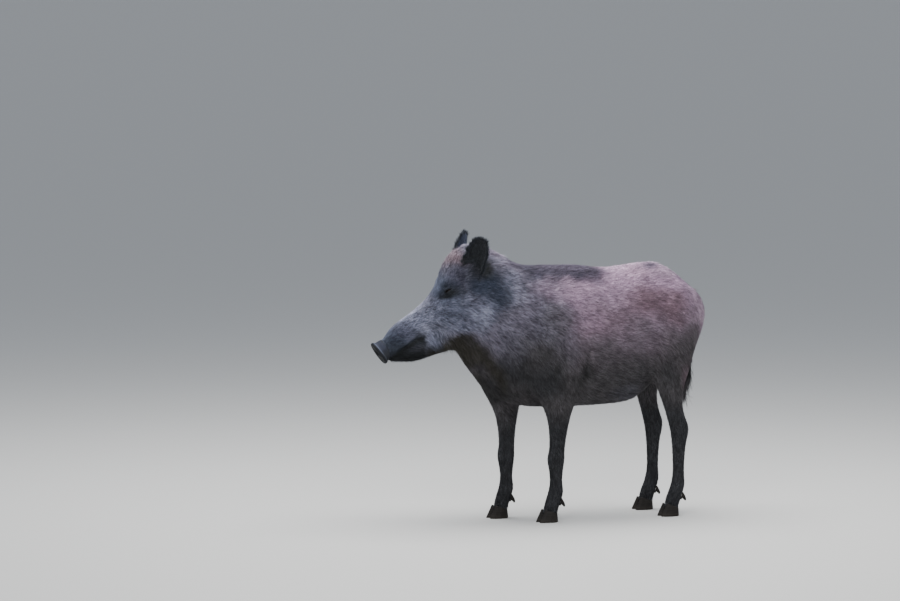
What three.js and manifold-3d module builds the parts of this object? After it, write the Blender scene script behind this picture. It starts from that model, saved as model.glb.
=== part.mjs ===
// A life-size young wild boar sow in its short summer coat, standing square with the head held low.
// Millimetres. The boar faces -X, its left side is -Y and +Z is up.
import * as THREE from "three";
import { LoftGeometry } from "three/addons/geometries/LoftGeometry.js";
import { mergeVertices } from "three/addons/utils/BufferGeometryUtils.js";
import Module from "manifold-3d";

const wasm = await Module();
wasm.setup();

// Driving dimensions.
const withers = 732; // height of the shoulders over the floor
const croup = 730; // height of the hips
const poll = 789; // height of the skull between the ears
const brisket = 320; // height of the underside between the elbows
const chestHalf = 133; // half the width of the rib cage
const headHalf = 80; // half the width across the cheeks
const headTurn = THREE.MathUtils.degToRad(10); // the head looks a little to its right
const neckBend = { from: -63, length: 170 }; // stretch of neck that takes up the turn
const foreTrack = 72; // half the distance between the forefeet
const hindTrack = 84; // half the distance between the hind feet
const foreStride = 90; // the right forefoot stands this far ahead of the left
const gap = 0.4; // clear space between neighbouring solids
const coarseness = 0.32; // how far a surface may move when flat neighbours are merged

// ---- solids ----

function solidOf(geometry) {
  const bare = new THREE.BufferGeometry();
  bare.setAttribute("position", geometry.getAttribute("position"));
  bare.setIndex(geometry.getIndex());
  const merged = mergeVertices(bare, 1e-3);
  return new wasm.Manifold(
    new wasm.Mesh({
      numProp: 3,
      vertProperties: merged.attributes.position.array,
      triVerts: new Uint32Array(merged.index.array),
    }),
  );
}

function geometryOf(solid) {
  const mesh = solid.getMesh();
  const geometry = new THREE.BufferGeometry();
  geometry.setAttribute("position", new THREE.BufferAttribute(mesh.vertProperties, 3));
  geometry.setIndex(new THREE.BufferAttribute(mesh.triVerts, 1));
  geometry.computeVertexNormals();
  return geometry;
}

// The biggest body of a solid that a cut has left in several.
function mainBody(solid) {
  return solid.decompose().reduce((a, b) => (b.volume() > a.volume() ? b : a));
}

// ---- lofts ----

// Each station spans one cross section between two edge points of the side view, given as [x, z].
// half is half its width, wide says how far up from the second edge it is widest,
// and square holds the superellipse powers towards the first and the second edge.
// grow moves the whole surface out, ends included.
function sectionsOf(stations, { steps = 3, around = 24, grow = 0, flip = false, form = (p) => p } = {}) {
  const edge = (key) =>
    new THREE.CatmullRomCurve3(stations.map((s) => new THREE.Vector3(s[key][0], s.y ?? 0, s[key][1])));
  const first = edge("first");
  const second = edge("second");
  const size = new THREE.CatmullRomCurve3(
    stations.map((s) => new THREE.Vector3(s.half, (s.wide ?? 0.5) * 100, 0)),
  );
  const power = new THREE.CatmullRomCurve3(
    stations.map((s) => new THREE.Vector3(...(s.square ?? [2.2, 2.2]), 0)),
  );
  const count = (stations.length - 1) * steps;
  const middle = (t) => first.getPoint(t).add(second.getPoint(t)).multiplyScalar(0.5);
  const sections = [];
  for (let i = 0; i <= count; i++) {
    const t = i / count;
    const low = second.getPoint(t);
    const span = first.getPoint(t).sub(low);
    if (i === 0) low.addScaledVector(middle(0).sub(middle(1 / count)).normalize(), grow);
    if (i === count) low.addScaledVector(middle(1).sub(middle(1 - 1 / count)).normalize(), grow);
    const stretch = 1 + (2 * grow) / span.length();
    low.addScaledVector(span, (1 - stretch) / 2);
    span.multiplyScalar(stretch);
    const half = size.getPoint(t).x + grow;
    const wide = size.getPoint(t).y / 100;
    const powers = power.getPoint(t);
    const ring = [];
    for (let j = 0; j < around; j++) {
      const angle = (j / around) * 2 * Math.PI;
      const up = Math.sin(angle);
      const side = Math.cos(angle);
      const bend = 2 / (up > 0 ? powers.x : powers.y);
      const rise = wide + (up > 0 ? 1 - wide : wide) * Math.sign(up) * Math.abs(up) ** bend;
      const point = low.clone().addScaledVector(span, rise);
      point.y += half * Math.sign(side) * Math.abs(side) ** bend;
      ring.push(form(point, sections.length));
    }
    sections.push(flip ? ring.reverse() : ring);
  }
  return sections;
}

function loft(stations, options) {
  return solidOf(new LoftGeometry(sectionsOf(stations, options), { capStart: true, capEnd: true }));
}

// Turns whatever lies ahead of the neck's base to the boar's right, along an even bend.
function turnHead(point) {
  const ahead = neckBend.from - point.x;
  if (ahead <= 0) return point;
  const bent = Math.min(ahead, neckBend.length);
  const angle = (headTurn * bent) / neckBend.length;
  const radius = neckBend.length / headTurn;
  const straight = ahead - bent;
  const x = neckBend.from - radius * Math.sin(angle) - straight * Math.cos(angle);
  const y = radius * (1 - Math.cos(angle)) + straight * Math.sin(angle);
  return point.set(x + point.y * Math.sin(angle), y + point.y * Math.cos(angle), point.z);
}

// ---- head, neck and trunk ----

const bodyStations = [
  { name: "snout end", first: [-485, 520], second: [-456, 469], half: 29.5, square: [2.2, 2.2] },
  { name: "snout neck", first: [-467, 529], second: [-444, 465], half: 30, square: [2.2, 2.2] },
  { name: "upper lip", first: [-448, 557], second: [-414, 463], half: 35, square: [2.2, 2.3] },
  { name: "muzzle", first: [-418, 581], second: [-374, 464], half: 38, wide: 0.46, square: [2.1, 2.4] },
  { name: "tusk", first: [-388, 602], second: [-338, 474], half: 43, wide: 0.42, square: [2.0, 2.4] },
  { name: "mouth corner", first: [-360, 625], second: [-308, 483], half: 51, wide: 0.42, square: [1.9, 2.4] },
  { name: "cheekbone", first: [-336, 649], second: [-284, 491], half: 63, wide: 0.42, square: [1.9, 2.4] },
  { name: "eye front", first: [-314, 683], second: [-266, 495], half: 73, wide: 0.42, square: [1.9, 2.3] },
  { name: "brow", first: [-295, 731], second: [-254, 490], half: headHalf - 2, wide: 0.42, square: [1.9, 2.2] },
  { name: "crown", first: [-263, 777], second: [-246, 477], half: headHalf, wide: 0.42, square: [2.0, 2.2] },
  { name: "poll", first: [-218, poll], second: [-234, 458], half: headHalf + 4, wide: 0.42 },
  { name: "nape", first: [-168, 780], second: [-220, 438], half: 92, wide: 0.42, square: [2.0, 2.2] },
  { name: "neck", first: [-118, 759], second: [-200, 412], half: 103, wide: 0.44, square: [1.9, 2.1] },
  { name: "neck base", first: [-63, withers + 2], second: [-165, 370], half: 116, wide: 0.46, square: [1.9, 2.1] },
  { name: "withers", first: [0, withers], second: [-90, 332], half: chestHalf - 11, wide: 0.46, square: [1.9, 2.1] },
  { name: "chest", first: [63, 729], second: [20, brisket], half: chestHalf - 4, wide: 0.46, square: [2.0, 2.1] },
  { name: "ribs", first: [126, 725], second: [120, brisket - 1], half: chestHalf + 3, wide: 0.46, square: [2.1, 2.2] },
  { name: "belly", first: [189, 717], second: [200, 321], half: chestHalf + 1, wide: 0.46, square: [2.1, 2.3] },
  { name: "loin", first: [252, 720], second: [275, 330], half: chestHalf - 7, wide: 0.47, square: [2.1, 2.3] },
  { name: "hip", first: [315, 727], second: [335, 372], half: 120, wide: 0.5, square: [2.0, 2.2] },
  { name: "croup", first: [366, croup - 5], second: [388, 420], half: 112, wide: 0.52, square: [2.0, 2.2] },
  { name: "rump", first: [418, 696], second: [432, 470], half: 97, wide: 0.55 },
  { name: "buttock", first: [461, 659], second: [464, 520], half: 68, wide: 0.55 },
  { name: "tail head", first: [481, 632], second: [478, 562], half: 32, wide: 0.5 },
];

// Muscles and bone that stand out from the even loft, mirrored over the midline.
const swellings = [
  { name: "brow ridge", at: [-285, 50, 694], reach: 22, rise: 4 },
  { name: "cheekbone", at: [-262, 74, 628], reach: 34, rise: 5 },
  { name: "jowl", at: [-262, 66, 548], reach: 40, rise: 6 },
  { name: "temple hollow", at: [-246, 62, 716], reach: 24, rise: -4 },
  { name: "muzzle hollow", at: [-352, 45, 590], reach: 34, rise: -3 },
  { name: "tusk root", at: [-398, 38, 532], reach: 20, rise: 4 },
  { name: "flank hollow", at: [285, 112, 560], reach: 60, rise: -8 },
];

function shapeBody(point) {
  const outward = new THREE.Vector3(0, point.y, 0).normalize();
  let rise = 0;
  for (const s of swellings) {
    const away = Math.hypot(point.x - s.at[0], Math.abs(point.y) - s.at[1], point.z - s.at[2]);
    rise += s.rise * Math.exp(-((away / s.reach) ** 2));
  }
  return turnHead(point.addScaledVector(outward, rise));
}

// A box that holds everything on one side of a plane, which passes through two side-view points.
function sideOf([x1, z1], [x2, z2], side) {
  const reach = 2000;
  const box = new THREE.BoxGeometry(reach, reach, reach);
  const along = new THREE.Vector3(x2 - x1, 0, z2 - z1).normalize();
  const facing = new THREE.Vector3(along.z, 0, -along.x).multiplyScalar(side);
  const centre = new THREE.Vector3(x1, 0, z1).addScaledVector(facing, reach / 2 + gap / 2);
  const turn = new THREE.Quaternion().setFromUnitVectors(new THREE.Vector3(1, 0, 0), facing);
  box.applyQuaternion(turn).translate(centre.x, centre.y, centre.z);
  return solidOf(box);
}

// The lower jaw is what lies under this line of the mouth, as far back as its corner.
const mouthLine = [
  [-456, 471],
  [-432, 491],
  [-402, 516],
  [-380, 532],
  [-361, 537],
];

function jawBlock(grow) {
  const front = mouthLine[0];
  const corner = mouthLine.at(-1);
  const outline = new THREE.Shape([
    new THREE.Vector2(front[0] - 40, front[1] - 20 + grow),
    ...mouthLine.map(([x, z]) => new THREE.Vector2(x + grow / 2, z + grow)),
    new THREE.Vector2(corner[0] + 45 + grow, corner[1] - 110),
    new THREE.Vector2(front[0] - 40, corner[1] - 110),
  ]);
  const block = new THREE.ExtrudeGeometry(outline, { depth: 300, bevelEnabled: false });
  return solidOf(block.rotateX(Math.PI / 2).translate(0, 220, 0));
}

// ---- snout disc ----

const disc = {
  centre: [-471.5, 493.5], // middle of its back face in the side view
  pitch: THREE.MathUtils.degToRad(35), // how far its face looks down
  halfWidth: 37,
  halfHeight: 35,
  thick: 13,
  taper: 0.12, // how much narrower it is at the top
  nostril: { apart: 15, width: 6, height: 8, depth: 9 },
};

// Moves a shape from the disc's own frame, with x across, y up its face and z out of it.
function placeOnSnout(geometry) {
  geometry.rotateX(Math.PI / 2).rotateZ(-Math.PI / 2).rotateY(-disc.pitch);
  geometry.translate(disc.centre[0], 0, disc.centre[1]);
  const position = geometry.getAttribute("position");
  const point = new THREE.Vector3();
  for (let i = 0; i < position.count; i++) {
    position.setXYZ(i, ...turnHead(point.fromBufferAttribute(position, i)));
  }
  return geometry;
}

// The disc before its nostrils are cut.
function discBlank(grow = 0) {
  const around = 16;
  const rims = [
    [-grow, 0.84],
    [0.35 * disc.thick, 0.89],
    [0.65 * disc.thick, 0.98],
    [0.85 * disc.thick, 1],
    [disc.thick + grow, 0.92],
  ];
  const sections = rims.map(([out, size]) =>
    Array.from({ length: around }, (_, j) => {
      const angle = (j / around) * 2 * Math.PI;
      const taper = 1 - disc.taper * Math.sin(angle);
      return new THREE.Vector3(
        (disc.halfWidth * size + grow) * taper * Math.cos(angle),
        (disc.halfHeight * size + grow) * Math.sin(angle),
        out,
      );
    }),
  );
  return solidOf(placeOnSnout(new LoftGeometry(sections, { capStart: true, capEnd: true })));
}

function makeSnoutDisc() {
  let made = discBlank();
  const { apart, width, height, depth } = disc.nostril;
  for (const side of [-1, 1]) {
    const pit = new THREE.SphereGeometry(1, 8, 6).scale(width, height, depth);
    made = made.subtract(solidOf(placeOnSnout(pit.translate(side * apart, 2, disc.thick))));
  }
  return made;
}

// ---- ears ----

// Each ear's base and tip are [x, distance from the midline, z]; the left one is laid a little further back.
const ears = {
  left: { side: -1, base: [-221, 63, 716], tip: [-225, 97, 812] },
  right: { side: 1, base: [-226, 63, 716], tip: [-222, 98, 821] },
  facing: [-0.62, 0.75, 0.1], // where the hollow of an ear looks
  thick: 6,
};

// How far the front and the back edge lie from the ear's axis, up its length, and how round it curls.
const earStations = [
  { up: -0.22, front: -20, back: 30, curl: 22 },
  { up: 0, front: -29, back: 42, curl: 28 },
  { up: 0.16, front: -37, back: 50, curl: 35 },
  { up: 0.32, front: -40, back: 52, curl: 41 },
  { up: 0.52, front: -37, back: 50, curl: 46 },
  { up: 0.72, front: -30, back: 47, curl: 52 },
  { up: 0.87, front: -21, back: 43, curl: 57 },
  { up: 0.96, front: -11, back: 37, curl: 60 },
  { up: 1, front: -2, back: 30, curl: 60 },
];

function makeEar({ side, ...ear }) {
  const place = ([x, y, z]) => new THREE.Vector3(x, side * y, z);
  const base = place(ear.base);
  const axis = place(ear.tip).sub(base);
  const length = axis.length();
  axis.normalize();
  const out = place(ears.facing).projectOnPlane(axis).normalize();
  const across = new THREE.Vector3().crossVectors(out, axis).multiplyScalar(side);
  const edges = new THREE.CatmullRomCurve3(earStations.map((s) => new THREE.Vector3(s.front, s.back, s.curl)));
  const heights = new THREE.CatmullRomCurve3(earStations.map((s) => new THREE.Vector3(s.up, 0, 0)));
  const rows = 9;
  const columns = 6;
  const sections = [];
  for (let i = 0; i <= rows; i++) {
    const { x: front, y: back, z: curl } = edges.getPoint(i / rows);
    const up = heights.getPoint(i / rows).x;
    const at = (j, lift) => {
      const arc = THREE.MathUtils.lerp(front, back, j / columns) / curl;
      const thin = 1 - 0.6 * Math.abs((2 * j) / columns - 1) ** 3;
      const radius = curl + lift * thin * (1 - 0.4 * up);
      return base
        .clone()
        .addScaledVector(axis, up * length)
        .addScaledVector(across, radius * Math.sin(arc))
        .addScaledVector(out, curl * 0.35 - radius * Math.cos(arc) + curl * 0.3);
    };
    const half = ears.thick / 2;
    const outer = Array.from({ length: columns + 1 }, (_, j) => at(j, half));
    const inner = Array.from({ length: columns + 1 }, (_, j) => at(columns - j, -half));
    const ring = [...outer, ...inner].map(turnHead);
    sections.push(side > 0 ? ring : ring.reverse());
  }
  return solidOf(new LoftGeometry(sections, { capStart: true, capEnd: true }));
}

// ---- eyes ----

const eye = { at: [-286.5, 50.3, 663.5], radius: 11.5 };

function makeEye(side, grow = 0) {
  const ball = new THREE.SphereGeometry(eye.radius + grow, 10, 6);
  const centre = turnHead(new THREE.Vector3(eye.at[0], side * eye.at[1], eye.at[2]));
  return solidOf(ball.translate(centre.x, centre.y, centre.z));
}

// ---- legs ----

// The left foreleg from the shoulder blade down, front edge first. Its y is the distance from the midline.
const forelegStations = [
  { name: "blade top", first: [-6, 652], second: [50, 648], y: 76, half: 16 },
  { name: "blade", first: [-48, 600], second: [78, 598], y: 90, half: 40 },
  { name: "shoulder", first: [-82, 528], second: [98, 520], y: 93, half: 48 },
  { name: "upper arm", first: [-88, 455], second: [94, 442], y: 93, half: 48 },
  { name: "elbow top", first: [-68, 395], second: [82, 385], y: 89, half: 43 },
  { name: "elbow", first: [-38, 346], second: [68, 338], y: 84, half: 37 },
  { name: "forearm", first: [-15, 300], second: [57, 297], y: 80, half: 31 },
  { name: "forearm middle", first: [-6, 255], second: [48, 253], y: 77, half: 26 },
  { name: "above the knee", first: [-4, 212], second: [43, 210], y: foreTrack + 2, half: 22.5 },
  { name: "knee", first: [-9, 178], second: [43, 178], y: foreTrack + 1, half: 24 },
  { name: "below the knee", first: [-4, 146], second: [39, 148], y: foreTrack, half: 20.5 },
  { name: "cannon", first: [-1, 112], second: [36, 114], y: foreTrack, half: 19.5 },
  { name: "fetlock", first: [-7, 82], second: [40, 87], y: foreTrack, half: 22 },
  { name: "pastern", first: [-17, 54], second: [31, 57], y: foreTrack, half: 22 },
  { name: "coronet", first: [-22.5, 33], second: [19, 21], y: foreTrack, half: 20 },
];

const hindLegStations = [
  { name: "hip", first: [360, 692], second: [443, 666], y: 56, half: 20 },
  { name: "haunch", first: [330, 650], second: [486, 628], y: 68, half: 42 },
  { name: "ham", first: [316, 590], second: [500, 575], y: 76, half: 50 },
  { name: "ham middle", first: [308, 525], second: [479, 515], y: 79, half: 51 },
  { name: "thigh", first: [304, 465], second: [450, 463], y: 80, half: 48 },
  { name: "stifle", first: [312, 412], second: [433, 418], y: 80, half: 42 },
  { name: "gaskin", first: [336, 362], second: [416, 372], y: 81, half: 34 },
  { name: "gaskin low", first: [353, 318], second: [411, 330], y: 82, half: 27 },
  { name: "above the hock", first: [365, 278], second: [419, 289], y: 83, half: 23 },
  { name: "hock", first: [374, 241], second: [433, 252], y: hindTrack, half: 22.5 },
  { name: "below the hock", first: [379, 204], second: [423, 206], y: hindTrack, half: 20.5 },
  { name: "cannon", first: [382, 160], second: [418, 160], y: hindTrack, half: 19 },
  { name: "cannon low", first: [382, 118], second: [417, 120], y: hindTrack, half: 19.5 },
  { name: "fetlock", first: [375, 84], second: [419, 88], y: hindTrack, half: 22 },
  { name: "pastern", first: [362, 55], second: [409, 58], y: hindTrack, half: 22 },
  { name: "coronet", first: [355.5, 33], second: [397, 21], y: hindTrack, half: 20 },
];

const legs = [
  { name: "left", kind: "fore", side: -1, stride: 0 },
  { name: "right", kind: "fore", side: 1, stride: -foreStride },
  { name: "left", kind: "hind", side: -1, stride: 0 },
  { name: "right", kind: "hind", side: 1, stride: 0 },
];

// A striding leg swings about its shoulder, so the stride grows from the blade down to the elbow.
const swing = { top: 620, bottom: 350, atTop: 0.25 };

function stride(leg, z) {
  const share = THREE.MathUtils.smoothstep(-z, -swing.top, -swing.bottom);
  return leg.stride * THREE.MathUtils.lerp(swing.atTop, 1, share);
}

// Seen from above, the hams round in towards the tail.
const rounding = { from: 390, to: 500, above: 420, share: 0.26 };

function inwards(leg, p) {
  if (leg.kind === "fore") return 1;
  const back = THREE.MathUtils.smoothstep(p.x, rounding.from, rounding.to);
  const high = THREE.MathUtils.smoothstep(p.z, rounding.above, rounding.above + 80);
  return 1 - rounding.share * back * high;
}

function makeLeg(leg, grow = 0) {
  const stations = leg.kind === "fore" ? forelegStations : hindLegStations;
  const form = (p) => p.set(p.x + stride(leg, p.z), leg.side * p.y * inwards(leg, p), p.z);
  return loft(stations, { steps: 2, around: 12, grow, flip: leg.side > 0, form });
}

// ---- hooves ----

const hoof = {
  toe: { fore: -41, hind: 337 }, // x of the tip of the toes
  length: 60,
  halfWidth: 12,
  apart: 12.8, // from the leg's middle to each claw's middle
  height: 38,
  heel: 25, // height of its back
  slope: 0.5, // how far the front wall leans back for each millimetre up
  toeIn: 0.28, // how much narrower a claw is at its toe
  bevel: 1.5, // the sole's edge is drawn in this much
};

// One main claw: a flat sole, a sloping front wall and a lower heel.
function makeClaw(leg, inner) {
  const { toe, length, halfWidth, apart, height, heel, slope, bevel } = hoof;
  const start = toe[leg.kind] + leg.stride;
  const levels = [0, 0.05, 1];
  const track = leg.kind === "fore" ? foreTrack : hindTrack;
  const middle = leg.side * (track + (inner ? -apart : apart));
  const around = 8;
  const sections = levels.map((level) => {
    const front = start + slope * level * height + (level === 0 ? bevel : 0);
    const back = start + length - 0.1 * level * heel - (level === 0 ? bevel : 0);
    const half = halfWidth * (level === 0 ? 0.93 : 1 - 0.14 * level);
    return Array.from({ length: around }, (_, j) => {
      const angle = (j / around) * 2 * Math.PI;
      const forward = Math.cos(angle);
      const toeIn = 1 - hoof.toeIn * Math.max(0, forward);
      return new THREE.Vector3(
        (front + back) / 2 - (forward * (back - front)) / 2,
        middle - half * toeIn * Math.sign(Math.sin(angle)) * Math.abs(Math.sin(angle)) ** 0.8,
        level * THREE.MathUtils.lerp(heel, height, (1 + forward) / 2),
      );
    });
  });
  return solidOf(new LoftGeometry(sections, { capStart: true, capEnd: true }));
}

const dewclaw = {
  tip: { fore: 39, hind: 417.5 }, // x of its tip
  level: 44, // height of its tip
  apart: 13.5, // from the leg's middle to each dewclaw's middle
  long: 28,
  radius: 8.5,
  lean: 0.6, // how far it leans, with its root in the pastern
};

// A dewclaw: a blunt cone that grows back and down out of the pastern, clear of the floor.
function makeDewclaw(leg, inner) {
  const { tip, level, apart, long, radius, lean } = dewclaw;
  const outline = [
    [0, 0],
    [radius * 0.45, 1.5],
    [radius * 0.85, long * 0.4],
    [radius, long],
    [0, long],
  ].map(([r, y]) => new THREE.Vector2(r, y));
  const cone = new THREE.LatheGeometry(outline, 7).scale(0.8, 1, 1);
  const track = leg.kind === "fore" ? foreTrack : hindTrack;
  cone.rotateX(Math.PI / 2).rotateY(-lean);
  const y = leg.side * (track + (inner ? -apart : apart));
  return solidOf(cone.translate(tip[leg.kind] + leg.stride, y, level));
}

// ---- tail ----

const tailStations = [
  { name: "root", first: [471, 648], second: [487, 652], half: 9 },
  { name: "base", first: [477, 624], second: [502, 630], half: 13 },
  { name: "upper", first: [486, 588], second: [509, 591], half: 11 },
  { name: "middle", first: [488, 540], second: [507, 541], half: 9 },
  { name: "lower", first: [477, 480], second: [494, 481], half: 8 },
  { name: "tuft start", first: [469, 430], second: [487, 433], half: 9 },
  { name: "tuft", first: [460, 395], second: [481, 400], half: 10 },
  { name: "tuft end", first: [453, 362], second: [470, 368], half: 8 },
  { name: "tip", first: [451, 338], second: [460, 341], half: 4 },
];

function makeTail(grow = 0) {
  return loft(tailStations, { steps: 1, around: 10, grow, flip: true });
}

// ---- assembly ----

const coat = { color: 0x75666b, roughness: 0.85, metalness: 0 };
const finishes = {
  coat,
  greyCoat: { ...coat, color: 0x7d7f8a },
  darkCoat: { ...coat, color: 0x2e2c30 },
  snout: { color: 0x3b3c45, roughness: 0.45, metalness: 0 },
  eye: { color: 0x120d0b, roughness: 0.1, metalness: 0 },
  horn: { color: 0x26221f, roughness: 0.5, metalness: 0 },
};

const boar = new THREE.Group();

function addPart(name, solid, finish) {
  const body = mainBody(solid).simplify(coarseness);
  const mesh = new THREE.Mesh(geometryOf(body), new THREE.MeshStandardMaterial(finishes[finish]));
  mesh.name = name;
  boar.add(mesh);
}

const headCut = [[-162, 800], [-243, 430]]; // behind the ears and the jaw
const neckCut = [[-58, 760], [-176, 330]]; // ahead of the shoulders
const foreCut = [[0, 352], [1, 352]]; // level of the elbows
const hindCut = [[0, 398], [1, 398]]; // level of the stifles

let body = loft(bodyStations, { steps: 2, around: 24, form: shapeBody });
const earSolids = { left: makeEar(ears.left).subtract(body), right: makeEar(ears.right).subtract(body) };
for (const side of [-1, 1]) body = body.subtract(makeEye(side, gap));
for (const leg of legs) body = body.subtract(makeLeg(leg, gap));
body = body.subtract(makeTail(gap)).subtract(discBlank(gap));

const front = body.intersect(sideOf(...headCut, 1));
addPart("head", front.subtract(jawBlock(gap)), "greyCoat");
addPart("lower_jaw", front.intersect(jawBlock(0)), "darkCoat");
addPart("neck", body.intersect(sideOf(...headCut, -1)).intersect(sideOf(...neckCut, 1)), "greyCoat");
addPart("trunk", body.intersect(sideOf(...neckCut, -1)), "coat");
addPart("tail", makeTail(), "darkCoat");
addPart("snout_disc", makeSnoutDisc(), "snout");
for (const name of ["left", "right"]) {
  addPart(`ear_${name}`, earSolids[name], "darkCoat");
  addPart(`eye_${name}`, makeEye(ears[name].side), "eye");
}

for (const leg of legs) {
  const cut = leg.kind === "fore" ? foreCut : hindCut;
  const upper = leg.kind === "fore" ? "shoulder" : "ham";
  const limb = makeLeg(leg);
  for (const [claw, inner] of [["outer", false], ["inner", true]]) {
    const main = makeClaw(leg, inner);
    const dew = makeDewclaw(leg, inner).subtract(makeLeg(leg, gap));
    addPart(`hoof_${leg.kind}_${leg.name}_${claw}`, main.subtract(makeLeg(leg, gap)), "horn");
    addPart(`dewclaw_${leg.kind}_${leg.name}_${claw}`, dew, "horn");
  }
  addPart(`${upper}_${leg.name}`, limb.intersect(sideOf(...cut, -1)), "coat");
  addPart(`${leg.kind}leg_${leg.name}`, limb.intersect(sideOf(...cut, 1)), "darkCoat");
}

// The origin is on the floor, under the middle of the whole boar.
const box = new THREE.Box3().setFromObject(boar);
const centre = box.getCenter(new THREE.Vector3());
boar.position.set(-centre.x, -centre.y, -box.min.z);

const model = new THREE.Group();
model.add(boar);

export default model;
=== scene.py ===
# The looks of a life-size young wild boar sow: one skin over the flesh, a coat of tufts, eyes, snout
# and hooves. Metres. The boar faces -X, its left side is -Y and +Z is up.
import math

import bmesh
import bpy
import numpy as np
from mathutils import Matrix, Vector
from mathutils.bvhtree import BVHTree


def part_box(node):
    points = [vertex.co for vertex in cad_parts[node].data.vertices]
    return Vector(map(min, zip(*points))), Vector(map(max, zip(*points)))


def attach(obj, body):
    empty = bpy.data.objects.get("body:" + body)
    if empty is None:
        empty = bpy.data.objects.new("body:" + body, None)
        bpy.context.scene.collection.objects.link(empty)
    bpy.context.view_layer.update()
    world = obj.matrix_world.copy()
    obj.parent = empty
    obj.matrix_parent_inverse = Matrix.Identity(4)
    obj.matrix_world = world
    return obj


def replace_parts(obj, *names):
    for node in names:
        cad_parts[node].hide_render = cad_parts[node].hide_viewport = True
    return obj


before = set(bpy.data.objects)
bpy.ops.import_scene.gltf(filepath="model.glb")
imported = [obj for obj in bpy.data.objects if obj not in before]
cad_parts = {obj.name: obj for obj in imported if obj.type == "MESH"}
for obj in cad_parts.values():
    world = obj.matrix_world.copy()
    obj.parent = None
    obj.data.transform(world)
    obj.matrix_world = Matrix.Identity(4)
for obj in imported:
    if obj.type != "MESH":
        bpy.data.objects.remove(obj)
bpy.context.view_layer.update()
random = np.random.default_rng(7)
mm = 0.001
sides = ("left", "right")


# Curves and arrays.


# 0 up to low, 1 from high on, and a smooth step between them.
def blend01(value, low, high):
    t = np.clip((value - low) / (high - low), 0, 1)
    return t * t * (3 - 2 * t)


# 1 at 0, and about a third one width away from it.
def bell(value, width):
    return np.exp(-((value / width) ** 2))


def unitRows(vectors):
    return vectors / np.maximum(np.linalg.norm(vectors, axis=1, keepdims=True), 1e-9)


# The shortest way to each point from the line between two places in millimetres.
def awayFromLine(points, start, end):
    a, b = np.array(start) * mm, np.array(end) * mm
    t = np.clip((points - a) @ (b - a) / ((b - a) @ (b - a)), 0, 1)
    return points - a - t[:, None] * (b - a)


# The straight boar.

# Places on the body are given as on a boar that looks straight ahead, measured from the floor under
# its withers.
pose = {
    "withers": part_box("hoof_fore_left_outer")[0].x + 40 * mm,  # x, from the left forefoot's toe
    "bendStart": -63 * mm,  # the neck starts to turn this far ahead of the withers
    "bendLength": 170 * mm,
    "turn": math.radians(10),
}


def straighten(points):
    p = np.array(points, float).reshape(-1, 3)
    p[:, 0] -= pose["withers"]
    start, length, turn = pose["bendStart"], pose["bendLength"], pose["turn"]
    radius = length / turn
    ahead = p[:, 0] < start
    angle = np.arctan2(start - p[:, 0], radius - p[:, 1])
    bent = ahead & (angle < turn)
    past = ahead & (angle >= turn)
    out = p.copy()
    out[bent, 0] = start - radius * angle[bent]
    out[bent, 1] = radius - np.hypot(p[bent, 0] - start, p[bent, 1] - radius)
    dx = p[past, 0] - (start - radius * math.sin(turn))
    dy = p[past, 1] - radius * (1 - math.cos(turn))
    out[past, 0] = start - length - (-dx * math.cos(turn) + dy * math.sin(turn))
    out[past, 1] = dx * math.sin(turn) + dy * math.cos(turn)
    return out


def turned(points):
    p = np.array(points, float).reshape(-1, 3)
    start, length, turn = pose["bendStart"], pose["bendLength"], pose["turn"]
    radius = length / turn
    ahead = np.maximum(start - p[:, 0], 0)
    angle = np.minimum(ahead, length) / radius
    onward = np.maximum(ahead - length, 0)
    base = np.where(ahead > 0, start, p[:, 0])
    out = p.copy()
    out[:, 0] = base - (radius - p[:, 1]) * np.sin(angle) - onward * np.cos(angle)
    out[:, 1] = radius - (radius - p[:, 1]) * np.cos(angle) + onward * np.sin(angle)
    out[:, 0] += pose["withers"]
    return out


def turnedDirections(places, directions):
    step = 0.1 * mm
    return unitRows(turned(places + directions * step) - turned(places))


# Carries the right side's numbers to the given side.
def flip(side):
    return np.array([1, -1 if side == "left" else 1, 1])


# Carries places on the left side over the midline, to where the tables' places are.
def folded(places):
    out = places.copy()
    out[:, 1] = np.abs(out[:, 1])
    return out


# The right foreleg stands ahead of the left one. Heights are over the floor.
stride = {
    "lead": 90 * mm,
    "hinge": 620 * mm,  # the leg swings from this height
    "straight": 350 * mm,  # below this height it has the whole lead
    "ends": (-300 * mm, 120 * mm),  # stretch of the body that it stands under
    "inside": (20 * mm, 60 * mm),  # the lead fades out between these distances from the midline
    "fade": 240 * mm,  # and over this height under the hinge
}


# Carries a place on the right foreleg back to where it would be with both forefeet level.
def unstride(places):
    out = places.copy()
    x, y, z = places.T
    front, back = stride["ends"]
    share = 0.25 + 0.75 * blend01(-z, -stride["hinge"], -stride["straight"])
    onLeg = (y > 0) & (z < stride["hinge"]) & (x > front) & (x < back)
    narrow = blend01(y, *stride["inside"]) * blend01(stride["hinge"] - z, 0, stride["fade"])
    out[:, 0] += np.where(onLeg, stride["lead"] * share * narrow, 0)
    return out


# How the coat lies.

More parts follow.
